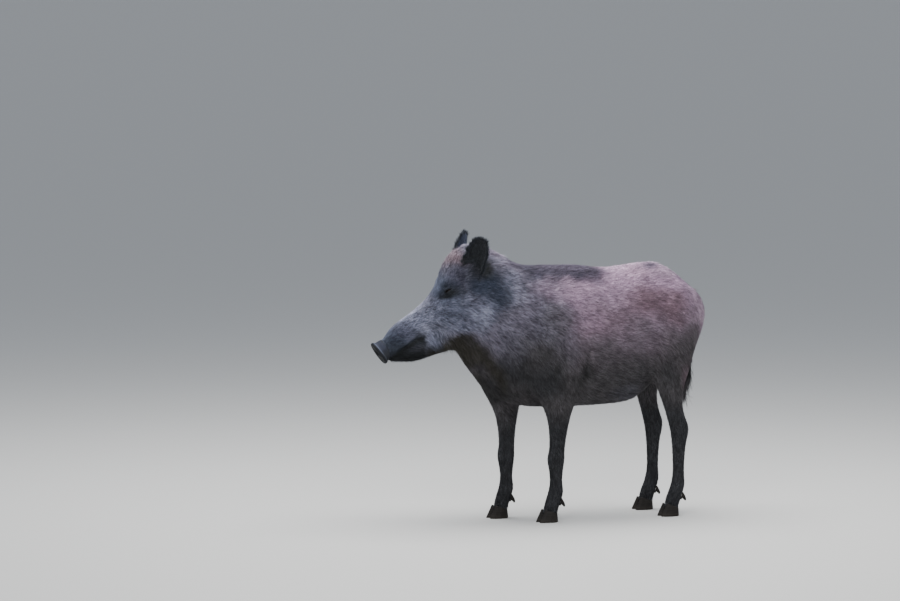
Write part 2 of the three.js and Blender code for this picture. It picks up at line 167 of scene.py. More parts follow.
# Each row: a place and the way the hair points there, then in millimetres the coat's depth and a
# tuft's length and width.
lieOfCoat = [
    ("snout top", (-450, 8, 548), (1.0, 0, 0.85), 1.2, 4, 0.9),
    ("snout side", (-445, 32, 505), (1.0, 0.1, 0.6), 1.2, 4, 0.9),
    ("upper lip", (-410, 38, 515), (1.0, 0, 0.25), 1.4, 5, 1.0),
    ("muzzle top", (-395, 12, 592), (1.0, 0, 0.62), 2.0, 7, 1.1),
    ("muzzle side", (-370, 42, 560), (1.0, 0.1, 0.25), 2.2, 7, 1.1),
    ("chin", (-420, 12, 466), (1.0, 0, 0.05), 2.0, 9, 1.1),
    ("lower lip", (-400, 34, 492), (1.0, 0, 0.0), 1.6, 6, 1.0),
    ("jaw underside", (-330, 20, 480), (1.0, 0, 0.0), 3.2, 12, 1.3),
    ("mouth corner", (-352, 48, 530), (0.75, 0, -0.65), 2.6, 9, 1.2),
    ("nose bridge", (-340, 14, 646), (0.8, 0, 0.75), 2.2, 7, 1.1),
    ("under the eye", (-310, 56, 628), (0.95, 0.1, 0.1), 2.4, 7, 1),
    ("eye corner", (-265, 66, 662), (1.0, 0.1, 0.15), 2.4, 7, 1),
    ("brow", (-292, 44, 705), (0.7, 0.1, 0.7), 2.8, 9, 1.1),
    ("forehead", (-290, 10, 735), (0.45, 0, 0.95), 3, 10, 1.2),
    ("crown", (-250, 12, 786), (1.0, 0, 0.5), 4, 13, 1.3),
    ("temple", (-245, 66, 700), (1.0, 0, 0.2), 3, 9, 1.15),
    ("cheek", (-290, 72, 590), (0.95, 0.1, -0.25), 3, 9, 1.1),
    ("cheek back", (-240, 82, 600), (0.9, 0, -0.45), 3.6, 11, 1.2),
    ("lower cheek", (-320, 60, 530), (0.5, 0, -0.9), 3.4, 11, 1.15),
    ("jowl", (-270, 66, 525), (0.6, 0, -0.8), 4.2, 13, 1.2),
    ("throat", (-215, 30, 440), (0.7, 0, -0.75), 4.5, 14, 1.3),
    ("poll", (-190, 14, 785), (1.0, 0, -0.05), 6, 18, 1.4),
    ("neck top", (-120, 12, 765), (1.0, 0, -0.3), 7, 20, 1.5),
    ("neck side", (-150, 92, 660), (0.85, 0, -0.5), 5, 12, 1.25),
    ("neck low", (-170, 92, 540), (0.75, 0, -0.7), 5, 13, 1.25),
    ("neck front", (-175, 30, 395), (0.6, 0, -0.85), 5.5, 15, 1.4),
    ("withers", (0, 14, 736), (1.0, 0, -0.05), 7, 20, 1.6),
    ("neck base", (-70, 108, 620), (0.8, 0, -0.6), 5.2, 13, 1.3),
    ("shoulder blade", (20, 128, 590), (0.85, 0, -0.5), 5.2, 13, 1.35),
    ("shoulder", (-40, 134, 500), (0.65, 0, -0.8), 5.2, 13, 1.35),
    ("arm", (20, 138, 430), (0.5, 0, -0.9), 5, 14, 1.4),
    ("arm front", (-85, 95, 430), (0.35, 0.1, -0.95), 5, 14, 1.4),
    ("chest front", (-95, 20, 345), (0.6, 0, -0.8), 5.5, 16, 1.5),
    ("elbow", (45, 118, 350), (0.4, 0, -0.95), 4.5, 14, 1.5),
    ("between the elbows", (40, 20, 322), (1.0, 0, -0.1), 6.0, 20, 1.7),
    ("back", (150, 10, 730), (1.0, 0, -0.02), 6, 19, 1.6),
    ("upper flank", (140, 105, 670), (1.0, 0, -0.3), 5.5, 15, 1.5),
    ("ribs", (140, 137, 540), (0.95, 0, -0.32), 5.5, 15, 1.5),
    ("lower ribs", (140, 120, 400), (0.95, 0, -0.35), 6.0, 19, 1.7),
    ("belly", (180, 30, 322), (1.0, 0, 0.02), 6.5, 22, 1.8),
    ("loin", (250, 60, 715), (1.0, 0, -0.08), 6, 18, 1.6),
    ("flank", (265, 122, 560), (0.95, 0, -0.15), 5.5, 15, 1.5),
    ("flank fold", (280, 105, 420), (0.9, 0, -0.3), 6.0, 18, 1.7),
    ("croup", (350, 40, 722), (1.0, 0, -0.3), 5.8, 18, 1.6),
    ("hip", (345, 105, 640), (0.95, 0, -0.3), 5.2, 15, 1.5),
    ("ham", (370, 128, 540), (0.8, 0, -0.55), 5.2, 15, 1.5),
    ("rump", (450, 60, 650), (0.5, -0.2, -0.85), 5.5, 17, 1.7),
    ("buttock", (475, 50, 570), (0.15, 0, -1.0), 5.5, 17, 1.6),
    ("thigh", (370, 125, 440), (0.45, 0, -0.9), 5.0, 15, 1.6),
    ("thigh back", (455, 80, 480), (0.1, 0, -1.0), 5.0, 16, 1.6),
    ("inner thigh", (370, 36, 440), (0.3, 0, -1.0), 4.5, 14, 1.6),
    ("gaskin", (375, 100, 350), (0.25, 0, -1.0), 4.2, 14, 1.7),
    ("hock", (400, 100, 245), (0, 0, -1.0), 3.4, 12, 1.7),
    ("hind cannon", (400, 88, 150), (0, 0, -1.0), 2.8, 11, 1.6),
    ("hind foot", (385, 88, 62), (-0.25, 0, -1.0), 2.6, 10, 1.5),
    ("forearm", (20, 90, 290), (0.15, 0, -1.0), 4, 14, 1.7),
    ("knee", (18, 80, 178), (0, 0, -1.0), 3, 11, 1.6),
    ("fore cannon", (18, 74, 120), (0, 0, -1.0), 2.8, 11, 1.6),
    ("forefoot", (5, 74, 55), (-0.25, 0, -1.0), 2.6, 10, 1.5),
]
rowReach = 22 * mm  # the rows blend into each other over about this distance


# The way the hair points, and the coat's depth, tuft length and tuft width, at places on the boar.
def coatAt(places):
    level = unstride(places)
    p = folded(level)
    lies = unitRows(np.array([row[2] for row in lieOfCoat], float))
    sizes = np.array([row[3:] for row in lieOfCoat], float) * mm
    total = np.zeros(len(p))
    lie = np.zeros((len(p), 3))
    size = np.zeros((len(p), 3))
    for row, direction, numbers in zip(lieOfCoat, lies, sizes):
        away = ((p - np.array(row[1]) * mm) ** 2).sum(1)
        weight = 1 / (away + rowReach**2) ** 2.2
        total += weight
        lie += weight[:, None] * direction
        size += weight[:, None] * numbers
    lie = unitRows(lie)
    lie[:, 1] *= np.where(level[:, 1] < 0, -1.0, 1.0)
    size /= total[:, None]
    return lie, size[:, 0], size[:, 1], size[:, 2]


# Meshes.


def arrayOf(collection, key):
    values = np.zeros(len(collection) * 3, np.float32)
    collection.foreach_get(key, values)
    return values.reshape(-1, 3).astype(float)


def putPoints(mesh, points):
    mesh.vertices.foreach_set("co", points.ravel().astype(np.float32))
    mesh.update()


def putValue(mesh, name, values):
    layer = mesh.attributes.new(name, "FLOAT", "POINT")
    layer.data.foreach_set("value", values.astype(np.float32))


def putColour(mesh, values):
    layer = mesh.color_attributes.new("markingAndPaintedLight", "FLOAT_COLOR", "POINT")
    solid = np.hstack([values, np.ones((len(values), 1))])
    layer.data.foreach_set("color", solid.ravel().astype(np.float32))


def newObject(name, data):
    obj = bpy.data.objects.new(name, data)
    bpy.context.scene.collection.objects.link(obj)
    return obj


def addPiece(name, mesh, material):
    obj = newObject(name, mesh)
    mesh.materials.clear()
    mesh.materials.append(material)
    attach(obj, "root")
    return obj


def meshFrom(work, name):
    mesh = bpy.data.meshes.new(name)
    work.to_mesh(mesh)
    work.free()
    mesh.polygons.foreach_set("use_smooth", [True] * len(mesh.polygons))
    return mesh


# A CAD node's shape with its loose triangles joined.
def nodeCopy(name):
    work = bmesh.new()
    work.from_mesh(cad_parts[name].data)
    bmesh.ops.remove_doubles(work, verts=work.verts, dist=1e-6)
    return work


# A mesh made anew of small even faces, with shells that overlap fused.
def remeshed(mesh, voxel):
    obj = newObject("scrap", mesh)
    remesh = obj.modifiers.new("remesh", "REMESH")
    remesh.mode = "VOXEL"
    remesh.voxel_size = voxel
    graph = bpy.context.evaluated_depsgraph_get()
    fine = bpy.data.meshes.new_from_object(obj.evaluated_get(graph))
    bpy.data.objects.remove(obj)
    bpy.data.meshes.remove(mesh)
    work = bmesh.new()
    work.from_mesh(fine)
    bpy.data.meshes.remove(fine)
    return work


def smoothed(work, verts, rounds):
    axes = {"use_axis_x": True, "use_axis_y": True, "use_axis_z": True}
    for _ in range(rounds):
        bmesh.ops.smooth_vert(work, verts=verts, factor=0.5, **axes)


# Noise.

noiseTable = random.random(4096)


# Even noise between 0 and 1, with lumps of the given size.
def lumps(points, size, seed):
    scaled = points / size + seed * 17.31
    cell = np.floor(scaled)
    part = scaled - cell
    part = part * part * (3 - 2 * part)
    cell = cell.astype(np.int64)
    total = np.zeros(len(points))
    for corner in np.ndindex(2, 2, 2):
        x, y, z = (cell + np.array(corner)).T
        # Large primes scatter neighbouring cells over the table.
        key = (x * 73856093) ^ (y * 19349663) ^ (z * 83492791) ^ (seed * 2654435)
        share = np.prod(np.where(np.array(corner) == 1, part, 1 - part), axis=1)
        total += share * noiseTable[key & (len(noiseTable) - 1)]
    return total


# Noise drawn out along the hair, evened to a mean of 0 and a spread of 1.
def streaks(points, lie, size, reach, seed):
    total = sum(lumps(points + lie * reach * step, size, seed) for step in np.linspace(-1, 1, 7))
    return (total - total.mean()) / (total.std() + 1e-9)


# Markings, with painted shade and painted rim light, the same on skin and coat.

# Colours in linear light, and how strongly pale tips fleck them.
pelts = {
    "mauve": ((0.431, 0.323, 0.416), 0.45),  # flanks
    "palePink": ((0.509, 0.358, 0.493), 0.20),  # upper flank and croup, and painted rim light at the croup's edge
    "pearlRimLight": ((0.640, 0.490, 0.620), 0.20),  # painted rim light along the top edge of the croup, rump and back
    "rosy": ((0.271, 0.179, 0.224), 0.20),  # rump, and painted shade in the hollow of the rump
    "slate": ((0.153, 0.161, 0.218), 0.85),  # grizzled neck and shoulder
    "silver": ((0.185, 0.202, 0.288), 0.90),  # cheeks and bridge of the nose
    "frost": ((0.394, 0.411, 0.535), 0.50),  # palest bristles
    "umber": ((0.097, 0.091, 0.097), 0.30),  # belly and lower flank, partly painted shade on the underside
    "char": ((0.040, 0.042, 0.047), 0.25),  # legs, and painted shade under the belly
    "soot": ((0.016, 0.018, 0.018), 0.12),  # mouth, throat, hollow of the ears; painted shadow along the mouth, in the tear groove and behind the ears
    "loam": ((0.046, 0.043, 0.036), 0.20),  # front of the throat and chest, partly painted shade under the jaw
    "dusk": ((0.048, 0.047, 0.073), 0.45),  # strip along the back, brow
    "lead": ((0.049, 0.060, 0.092), 0.28),  # muzzle, round the eye, behind the ear
    "rust": ((0.156, 0.105, 0.119), 0.50),  # forehead between the ears
}

# Each patch: pelt, strength, centre and half sizes in millimetres on the straight boar, and how soft
# its edge is.
patches = [
    ("slate", 1.0, (-350, 0, 646), (275, 130, 217), 0.4),
    ("slate", 0.76, (-95, 90, 605), (135, 90, 267), 0.6),
    ("slate", 0.4, (5, 130, 565), (66, 70, 134), 0.7),
    ("palePink", 0.76, (235, 60, 685), (235, 130, 80), 0.6),
    ("palePink", 0.79, (341, 80, 667), (132, 80, 74), 0.7),
    # Painted shade in the hollow of the rump.
    ("rosy", 0.81, (358, 110, 599), (63, 70, 47), 0.8),
    ("rosy", 0.48, (162, 124, 577), (131, 60, 44), 0.9),
    ("rosy", 0.9, (470, 0, 630), (56, 50, 80), 0.8),
    ("palePink", 0.65, (63, 98, 646), (43, 40, 26), 0.8),
    # Umber over the belly and lower body: partly its own colour, partly painted shade on the underside.
    ("umber", 1.0, (182, 80, 344), (498, 120, 144), 0.5),
    ("umber", 1.0, (-51, 110, 409), (102, 90, 138), 0.6),
    ("umber", 0.8, (400, 120, 488), (98, 60, 77), 0.7),
    ("lead", 0.95, (-160, 82, 647), (37, 44, 66), 0.6),
    ("lead", 1.0, (-197, 84, 679), (40, 36, 39), 0.6),
    ("silver", 0.74, (-292, 60, 618), (91, 60, 53), 0.6),
    ("silver", 0.76, (-393, 18, 575), (56, 40, 42), 0.6),
    ("slate", 0.87, (-351, 0, 632), (91, 34, 69), 0.8),
    ("dusk", 0.95, (-324, 6, 678), (56, 44, 61), 0.8),
    ("silver", 0.92, (-201, 88, 609), (33, 30, 54), 0.7),
    ("frost", 0.57, (-203, 88, 591), (26, 30, 33), 0.7),
    ("silver", 0.43, (-240, 84, 573), (45, 40, 33), 0.7),
    ("frost", 0.75, (-361, 46, 539), (28, 16, 35), 0.7),
    ("silver", 0.71, (-334, 50, 529), (24, 30, 31), 0.5),
    ("frost", 0.38, (-105, 30, 757), (65, 40, 21), 0.7),
    ("rust", 0.81, (-269, 30, 745), (41, 56, 43), 0.7),
    ("slate", 0.69, (-271, 50, 706), (44, 44, 28), 0.7),
    ("dusk", 0.95, (-281, 58, 699), (65, 44, 48), 0.8),
    ("lead", 0.87, (-202, 78, 689), (18, 30, 43), 0.8),
    ("lead", 0.54, (-211, 83, 665), (32, 40, 27), 0.8),
    ("lead", 0.99, (-299, 58, 659), (38, 34, 37), 0.8),
    ("lead", 0.85, (-320, 20, 675), (35, 40, 36), 0.8),
    ("lead", 0.42, (-279, 72, 597), (29, 40, 33), 0.9),
    ("soot", 0.87, (-291, 60, 661), (38, 30, 18), 0.9),
    # Painted shade in the tear groove before the eye.
    ("soot", 0.75, (-307, 52, 648), (21, 18, 7), 0.8),
    # Dark hair and painted shadow behind the ear's root.
    ("soot", 0.73, (-207, 66, 723), (40, 34, 29), 0.6),
    ("soot", 0.9, (-184, 62, 732), (35, 30, 37), 0.6),
    ("lead", 1.0, (-451, 10, 519), (54, 60, 63), 0.6),
    ("lead", 0.46, (-400, 40, 534), (56, 34, 27), 0.45),
    ("dusk", 0.39, (-427, 25, 556), (41, 40, 26), 0.8),
    ("soot", 0.56, (-449, 34, 487), (61, 50, 43), 0.8),
    # Dark fur and painted shade under the jaw and on the throat.
    ("soot", 0.82, (-326, 16, 460), (105, 62, 43), 0.4),
    ("loam", 0.91, (-257, 20, 486), (92, 100, 42), 0.4),
    ("loam", 0.98, (-272, 56, 502), (51, 60, 40), 0.4),
    ("silver", 0.67, (-252, 80, 560), (41, 34, 12), 0.7),
    ("soot", 0.62, (-159, 10, 395), (57, 96, 109), 0.5),
    ("dusk", 0.88, (34, 0, 740), (152, 120, 66), 0.25),
    # Painted shade under the belly.
    ("char", 0.3, (200, 0, 312), (320, 90, 30), 0.6),
    ("lead", 0.73, (321, 18, 730), (37, 34, 20), 0.6),
    ("lead", 0.6, (60, 70, 722), (22, 16, 12), 0.6),
    ("soot", 0.76, (77, 118, 424), (19, 30, 57), 0.7),
    ("char", 0.94, (10, 80, 110), (200, 80, 215), 0.3),
    ("char", 0.92, (385, 84, 148), (150, 80, 198), 0.3),
    ("char", 0.45, (348, 126, 413), (32, 40, 58), 0.7),
    ("rosy", 0.42, (419, 100, 414), (22, 50, 59), 0.7),
    ("rosy", 0.92, (283, 105, 622), (82, 60, 42), 0.8),
    # Painted shade on the lower flank behind the shoulder.
    ("umber", 0.59, (126, 130, 494), (91, 60, 57), 0.9),
    ("frost", 0.3, (-125, 85, 668), (32, 60, 62), 0.8),
    ("palePink", 0.32, (-20, 88, 660), (58, 50, 29), 0.8),
    ("palePink", 0.37, (88, 118, 602), (44, 50, 46), 0.8),
    ("umber", 0.54, (-4, 125, 583), (48, 50, 71), 0.8),
    ("char", 0.8, (-43, 130, 419), (66, 60, 61), 0.8),
    ("dusk", 0.65, (93, 66, 688), (64, 40, 23), 0.7),
    # Painted shade in the hollow of the rump.
    ("rosy", 0.68, (374, 112, 607), (28, 40, 39), 0.9),
    ("char", 0.72, (-118, 100, 444), (53, 60, 50), 0.8),
    ("umber", 0.39, (253, 120, 534), (49, 60, 44), 0.8),
    # Painted rim light along the edge of the croup.
    ("palePink", 0.63, (399, 46, 696), (61, 60, 30), 0.8),
    ("rosy", 0.32, (281, 60, 708), (52, 60, 38), 0.9),
    ("umber", 0.62, (442, 100, 505), (33, 60, 65), 0.8),
    ("loam", 0.44, (-203, 0, 440), (59, 60, 70), 0.8),
    ("soot", 0.7, (-326, 44, 506), (38, 34, 20), 0.8),
    ("soot", 0.5, (-405, 30, 478), (40, 40, 16), 0.8),
    ("dusk", 0.35, (-404, 38, 540), (28, 30, 20), 0.8),
    ("lead", 0.6, (-318, 18, 674), (26, 30, 24), 0.8),
    # Painted rim light along the top of the croup, rump and back.
    ("pearlRimLight", 0.7, (385, 50, 704), (56, 60, 24), 0.8),
    ("pearlRimLight", 0.3, (452, 70, 640), (20, 50, 50), 0.8),
    ("pearlRimLight", 0.3, (175, 0, 724), (40, 20, 14), 0.8),
    ("umber", 0.5, (436, 105, 478), (28, 60, 46), 0.8),
    ("slate", 0.3, (240, 100, 350), (60, 60, 30), 0.9),
    ("soot", 0.9, (500, 0, 460), (40, 16, 190), 0.3),
]
# Lines seen from the side, from front to back: x and height in millimetres.
mouthLine = np.array([
    (-480, 452), (-462, 466), (-448, 478), (-432, 491), (-402, 515), (-380, 531), (-362, 537), (-350, 535),
])
throatLine = np.array([
    (-350, 494), (-320, 506), (-298, 530), (-275, 545), (-250, 551), (-230, 546), (-214, 529), (-198, 508),
    (-176, 480), (-152, 446), (-132, 414), (-110, 380),
])
# Sizes of the waves in the patches' edges, and how far they carry them, in millimetres.
wander = {"wide": 55, "fine": 21, "by": 34}
earTones = {
    "hollow": np.array(pelts["soot"][0]) * (1.1, 1.1, 1.3),
    "back": np.array(pelts["lead"][0]) * (0.8, 0.9, 1.15),
    "fleck": 0.15,
}


# The throat is dark below its line, partly dark fur and partly painted shade under the jaw, sharp under the
# cheek and soft on the neck.
def throatCover(q, ragged):
    below = np.interp(ragged, *throatLine.T) - q[:, 2] + 8 * (lumps(q, 9, 10) - 0.5)
    soft = 8 + 20 * blend01(q[:, 0], -245, -190)
    cover = 0.92 * blend01(below, -soft, soft) * blend01(-below, -70, -30)
    return cover * blend01(-ragged, 118, 150) * blend01(ragged, -356, -330)


# The mouth and chin are black up to the line of the mouth, with a sharp edge behind its corner, and darkest
# just under that line, which is painted shadow.
def mouthCover(q, ragged):
    below = np.interp(q[:, 0], *mouthLine.T) + 4 - q[:, 2]
    # Darkest just under the line of the mouth: painted shadow.
    dark = 0.7 + 0.25 * bell(below - 8, 12)
    return dark * blend01(below, -14, 9) * blend01(-ragged, 350, 362) * blend01(q[:, 2], 380, 430)


# The coat's colour, with painted shade and painted rim light laid into it, and how strongly it is flecked, at
# places on the straight boar.
def markingAndPaintedLight(places):
    q = places / mm
    wide = np.stack([lumps(q, wander["wide"], k) for k in (1, 2, 3)], 1)
    fine = np.stack([lumps(q, wander["fine"], k) for k in (4, 5, 6)], 1)
    share = blend01(q[:, 0], -300, -180)[:, None] * 0.75 + 0.25  # the face's markings wander less
    p = folded(q + (wide + 0.5 * fine - 0.75) * wander["by"] * share)
    # Umber low on the body and mauve higher up: partly the coat's own colour, partly painted shade on the
    # underside.
    high = blend01(p[:, 2], 380, 615)[:, None]
    colour = np.array(pelts["umber"][0]) * (1 - high) + np.array(pelts["mauve"][0]) * high
    fleck = pelts["umber"][1] * (1 - high[:, 0]) + pelts["mauve"][1] * high[:, 0]

    def lay(name, cover):
        nonlocal colour, fleck
        colour = colour * (1 - cover)[:, None] + np.array(pelts[name][0]) * cover[:, None]
        fleck = fleck * (1 - cover) + pelts[name][1] * cover

    for name, strength, centre, half, soft in patches:
        away = (np.abs((p - centre) / half) ** 2.4).sum(1) ** (1 / 2.4)
        lay(name, strength * (1 - blend01(away, 1 - soft, 1 + soft / 2)))
    ragged = q[:, 0] + 9 * (lumps(q, 7, 9) - 0.5)
    lay("loam", throatCover(q, ragged))
    lay("soot", mouthCover(q, ragged))
    mottle = 0.75 + 0.5 * lumps(q, 16, 8)
    return colour * mottle[:, None], fleck


# An ear's colour: black in its hollow and at its rim, dark grey on its back.
def earMarking(hollow, edge):
    black, grey = earTones["hollow"], earTones["back"]
    back = 0.35 * grey * (1 - 0.85 * edge)[:, None] + black * (0.85 * edge)[:, None]
    ear = black * hollow[:, None] + back * (1 - hollow)[:, None]
    return ear * (1 + 0.7 * edge)[:, None]


# Shader maths.


class Wire:  # one socket of a material, so that shader maths reads as Python
    def __init__(self, finish, socket):
        self.finish = finish
        self.socket = socket

    def maths(self, operation, *values):
        return self.finish.add("ShaderNodeMath", {"operation": operation}, *values)

    def __add__(self, other):
        return self.maths("ADD", self, other)

    __radd__ = __add__

    def __mul__(self, other):
        return self.maths("MULTIPLY", self, other)

    __rmul__ = __mul__


class Finish:  # a material and its nodes
    def __init__(self, name, **fixed):
        self.material = bpy.data.materials.new(name)
        self.material.use_nodes = True
        self.tree = self.material.node_tree
        self.tree.nodes.clear()
        self.shader = self.tree.nodes.new("ShaderNodeBsdfPrincipled")
        output = self.tree.nodes.new("ShaderNodeOutputMaterial")
        self.tree.links.new(self.shader.outputs[0], output.inputs["Surface"])
        for socket, value in fixed.items():
            self.shader.inputs[socket.replace("_", " ")].default_value = value

    # Any node: its type, its settings, then its sockets in order or by name. Gives one output in use.
    def add(self, kind, settings=None, *values, take=0, **named):
        node = self.tree.nodes.new(kind)
        for key, value in (settings or {}).items():
            setattr(node, key, value)
        inputs = [s for s in node.inputs if s.enabled]
        for socket, value in zip(inputs, values):
            self.feed(socket, value)
        for name, value in named.items():
            self.feed(next(s for s in inputs if s.name == name), value)
        outputs = [s for s in node.outputs if s.enabled]
        return Wire(self, outputs[take] if isinstance(take, int) else node.outputs[take])

    def feed(self, socket, value):
        if isinstance(value, Wire):
            self.tree.links.new(value.socket, socket)
        elif socket.type == "RGBA" and len(value) == 3:
            socket.default_value = (*value, 1)
        else:
            socket.default_value = value

    def place(self):
        return self.add("ShaderNodeTexCoord", take="Object")

    def attribute(self, name, take="Fac"):
        return self.add("ShaderNodeAttribute", {"attribute_name": name}, take=take)

    def smooth(self, value, low, high):
        settings = {"interpolation_type": "SMOOTHSTEP"}
        return self.add("ShaderNodeMapRange", settings, value, low, high, 0.0, 1.0)

    def mix(self, share, first, second, how="MIX"):
        settings = {"data_type": "RGBA", "blend_type": how, "clamp_factor": True}
        return self.add("ShaderNodeMix", settings, share, first, second)

    def noise(self, place, scale, detail=3.0):
        sockets = {"Vector": place, "Scale": scale, "Detail": detail, "Roughness": 0.55}
        return self.add("ShaderNodeTexNoise", take="Fac", **sockets)

    def bump(self, height, distance, strength, normal=None):
        sockets = {"Strength": strength, "Distance": distance, "Height": height}
        if normal:
            sockets["Normal"] = normal
        return self.add("ShaderNodeBump", **sockets)

    def out(self, **sockets):
        for socket, value in sockets.items():
            self.feed(self.shader.inputs[socket.replace("_", " ")], value)
        return self.material


# Skin.


def skinFinish():
    finish = Finish("skin_under_coat", Roughness=0.75, Specular_IOR_Level=0.3)
    place = finish.place()
    colour = finish.mix(1.0, finish.attribute("markingAndPaintedLight", "Color"), (0.5, 0.48, 0.47), "MULTIPLY")
    pores = finish.bump(finish.noise(place, 420.0, 2.0), 0.0007, 0.8)
    normal = finish.bump(finish.noise(place, 90.0), 0.0012, 0.5, pores)
    return finish.out(Base_Color=colour, Normal=normal)


fleshNodes = [
    "head", "lower_jaw", "neck", "trunk", "tail", "ear_left", "ear_right",
    "shoulder_left", "shoulder_right", "foreleg_left", "foreleg_right",
    "ham_left", "ham_right", "hindleg_left", "hindleg_right",
]
skinSizes = {
    "voxel": 5.4 * mm,
    "closeGaps": 0.4 * mm,  # the solids are swollen this much so that they fuse
    "earSwell": 1.8 * mm,  # thin ears are swollen more, and thinned again afterwards
    "earDepth": 0.8 * mm,  # the skin lies this far inside the coat on the ears
    "tailDepth": 5 * mm,
    "smoothing": 4,
    "fineFace": -225 * mm,  # ahead of this the faces are smaller
}

# Forms that stand out of or sink into the skin, along a line between two places: how far they reach
# and how high they are. Millimetres, mirrored.
forms = [
    ("brow ridge", (-304, 38, 688), (-276, 60, 692), 12, 4.0),
    ("tear groove", (-324, 39, 638), (-303, 54, 653), 3.2, -3.4),
    ("fold over the eye", (-306, 46, 676), (-272, 64, 680), 3.5, -1.6),
    ("fold under the eye", (-308, 50, 642), (-280, 66, 646), 4.5, -1.6),
    ("under the eye", (-306, 54, 633), (-282, 68, 636), 7, 2.0),
    ("cheekbone", (-290, 66, 628), (-240, 80, 640), 16, 3.0),
    ("jowl", (-275, 66, 550), (-250, 70, 560), 34, 4.0),
    ("hollow of the muzzle", (-385, 38, 575), (-330, 50, 600), 17, -3.0),
    ("nose ridge", (-430, 14, 568), (-350, 20, 622), 9, 1.5),
    ("upper lip", (-436, 34, 500), (-372, 46, 548), 7, 2.2),
    ("ear root", (-232, 66, 704), (-205, 70, 700), 20, 5.0),
    ("shoulder blade", (40, 104, 640), (-20, 126, 540), 26, 4.0),
    ("blade edge", (84, 124, 610), (96, 132, 520), 12, -3.0),
    ("back of the arm", (100, 130, 500), (82, 118, 372), 9, -7.0),
    ("arm", (56, 132, 470), (50, 130, 390), 18, 4.0),
    ("front of the arm", (-84, 110, 560), (-92, 112, 450), 14, -3.0),
    ("elbow", (62, 112, 348), (62, 112, 340), 16, 3.0),
    ("rib wrinkle", (141, 134, 604), (139, 136, 576), 4.5, -2.4),
    ("rib wrinkle", (181, 134, 602), (178, 136, 578), 4.5, -2.2),
    ("last rib", (230, 128, 600), (215, 130, 470), 16, -2.5),
    ("flank fold", (286, 116, 500), (300, 104, 408), 11, -6.0),
    ("hip bone", (306, 76, 712), (330, 84, 706), 24, 4.0),
    ("rump hollow", (392, 104, 640), (398, 112, 590), 24, -3.0),
    ("knee", (-4, 72, 184), (-4, 72, 172), 12, 1.5),
    ("hock tendon", (402, 84, 300), (414, 84, 262), 6, 1.5),
]


def onNodes(owners, *names):
    return np.isin(owners, [fleshNodes.index(name) for name in names])


def fuseFlesh():
    joined = bmesh.new()
    for name in [*fleshNodes, "eye_left", "eye_right"]:
        part = nodeCopy(name)
        part.normal_update()
        swell = skinSizes["earSwell"] if name.startswith("ear") else skinSizes["closeGaps"]
        for v in part.verts:
            v.co += v.normal * swell
        scrap = bpy.data.meshes.new("scrap")
        part.to_mesh(scrap)
        part.free()
        joined.from_mesh(scrap)
        bpy.data.meshes.remove(scrap)
    return remeshed(meshFrom(joined, "flesh"), skinSizes["voxel"])


# The flesh node that each point is nearest to, as its place in fleshNodes.
def nearestNode(points):
    vertices, triangles, owner = [], [], []
    for index, name in enumerate(fleshNodes):
        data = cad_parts[name].data
        start = len(vertices)
        vertices.extend(v.co[:] for v in data.vertices)
        triangles.extend([start + i for i in p.vertices] for p in data.polygons)
        owner.extend([index] * len(data.polygons))
    tree = BVHTree.FromPolygons(vertices, triangles)
    return np.array([owner[tree.find_nearest(p)[2]] for p in points])


eyes = {
    "radius": (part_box("eye_left")[1].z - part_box("eye_left")[0].z) / 2,
    "half": 11 * mm,  # half the length of the slit between the lids
    "above": 3.0 * mm,  # how far the lids stand open over and under the slit's line
    "below": 2.0 * mm,
    "tilt": math.radians(20),  # the eye's front corner is the lower one
    "out": (-0.64, 0.72, 0.20),  # the way the right eye looks
}
# How the skin lies over an eyeball. A fold is its height, its place over the slit and its width.
lids = {
    "thick": 1.7 * mm,
    "puff": (0.9 * mm, 6.5 * mm, 2.6 * mm),
    "puffEnd": 14 * mm,  # half the length of the puff
    "creases": [(-1.1 * mm, 9.6 * mm, 1.2 * mm), (-0.7 * mm, -6.6 * mm, 1.1 * mm)],
    "creaseEnd": (11 * mm, 17 * mm),  # the folds fade out between these distances from the eye
    "slope": 1.6,  # how steeply the lids fall away past the ball
    "soft": 1.0 * mm,  # how softly they run out into the face
    "edge": 0.7 * mm,  # half the width of their rounded edge
    "sunk": 2.2 * mm,  # between them the skin lies this far inside the ball
    "end": (13 * mm, 19 * mm),
}


# An eye's centre and its own axes: forward along the slit, up across it, and out.
def eyeFrame(side):
    low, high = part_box("eye_" + side)
    centre = (np.array(low) + np.array(high)) / 2
    place = straighten(centre)
    out = turnedDirections(place, np.array([eyes["out"]]) * flip(side))[0]
    ahead = turnedDirections(place, np.array([[-1.0, 0, -math.tan(eyes["tilt"])]]))[0]
    ahead -= out * (ahead @ out)
    ahead /= np.linalg.norm(ahead)
    up = np.cross(ahead, out)
    return centre, ahead, up if up[2] > 0 else -up, out


def inEye(points, side):
    centre, *axes = eyeFrame(side)
    return ((points - centre) @ np.array(axes).T).T


# How far the lids' edges bow away from the slit's line along it: 1 at its middle, 0 at its ends.
def bowOf(u):
    return np.clip(1 - np.abs(u / eyes["half"]) ** 2.2, 0, 1) ** 0.75


# How far inside the opening between the lids a spot of the eye's own frame lies, negative outside it.
def opening(u, v):
    across = np.where(v > 0, eyes["above"], eyes["below"]) * bowOf(u) - np.abs(v)
    return np.minimum(across, (eyes["half"] - np.abs(u)) * 0.5)


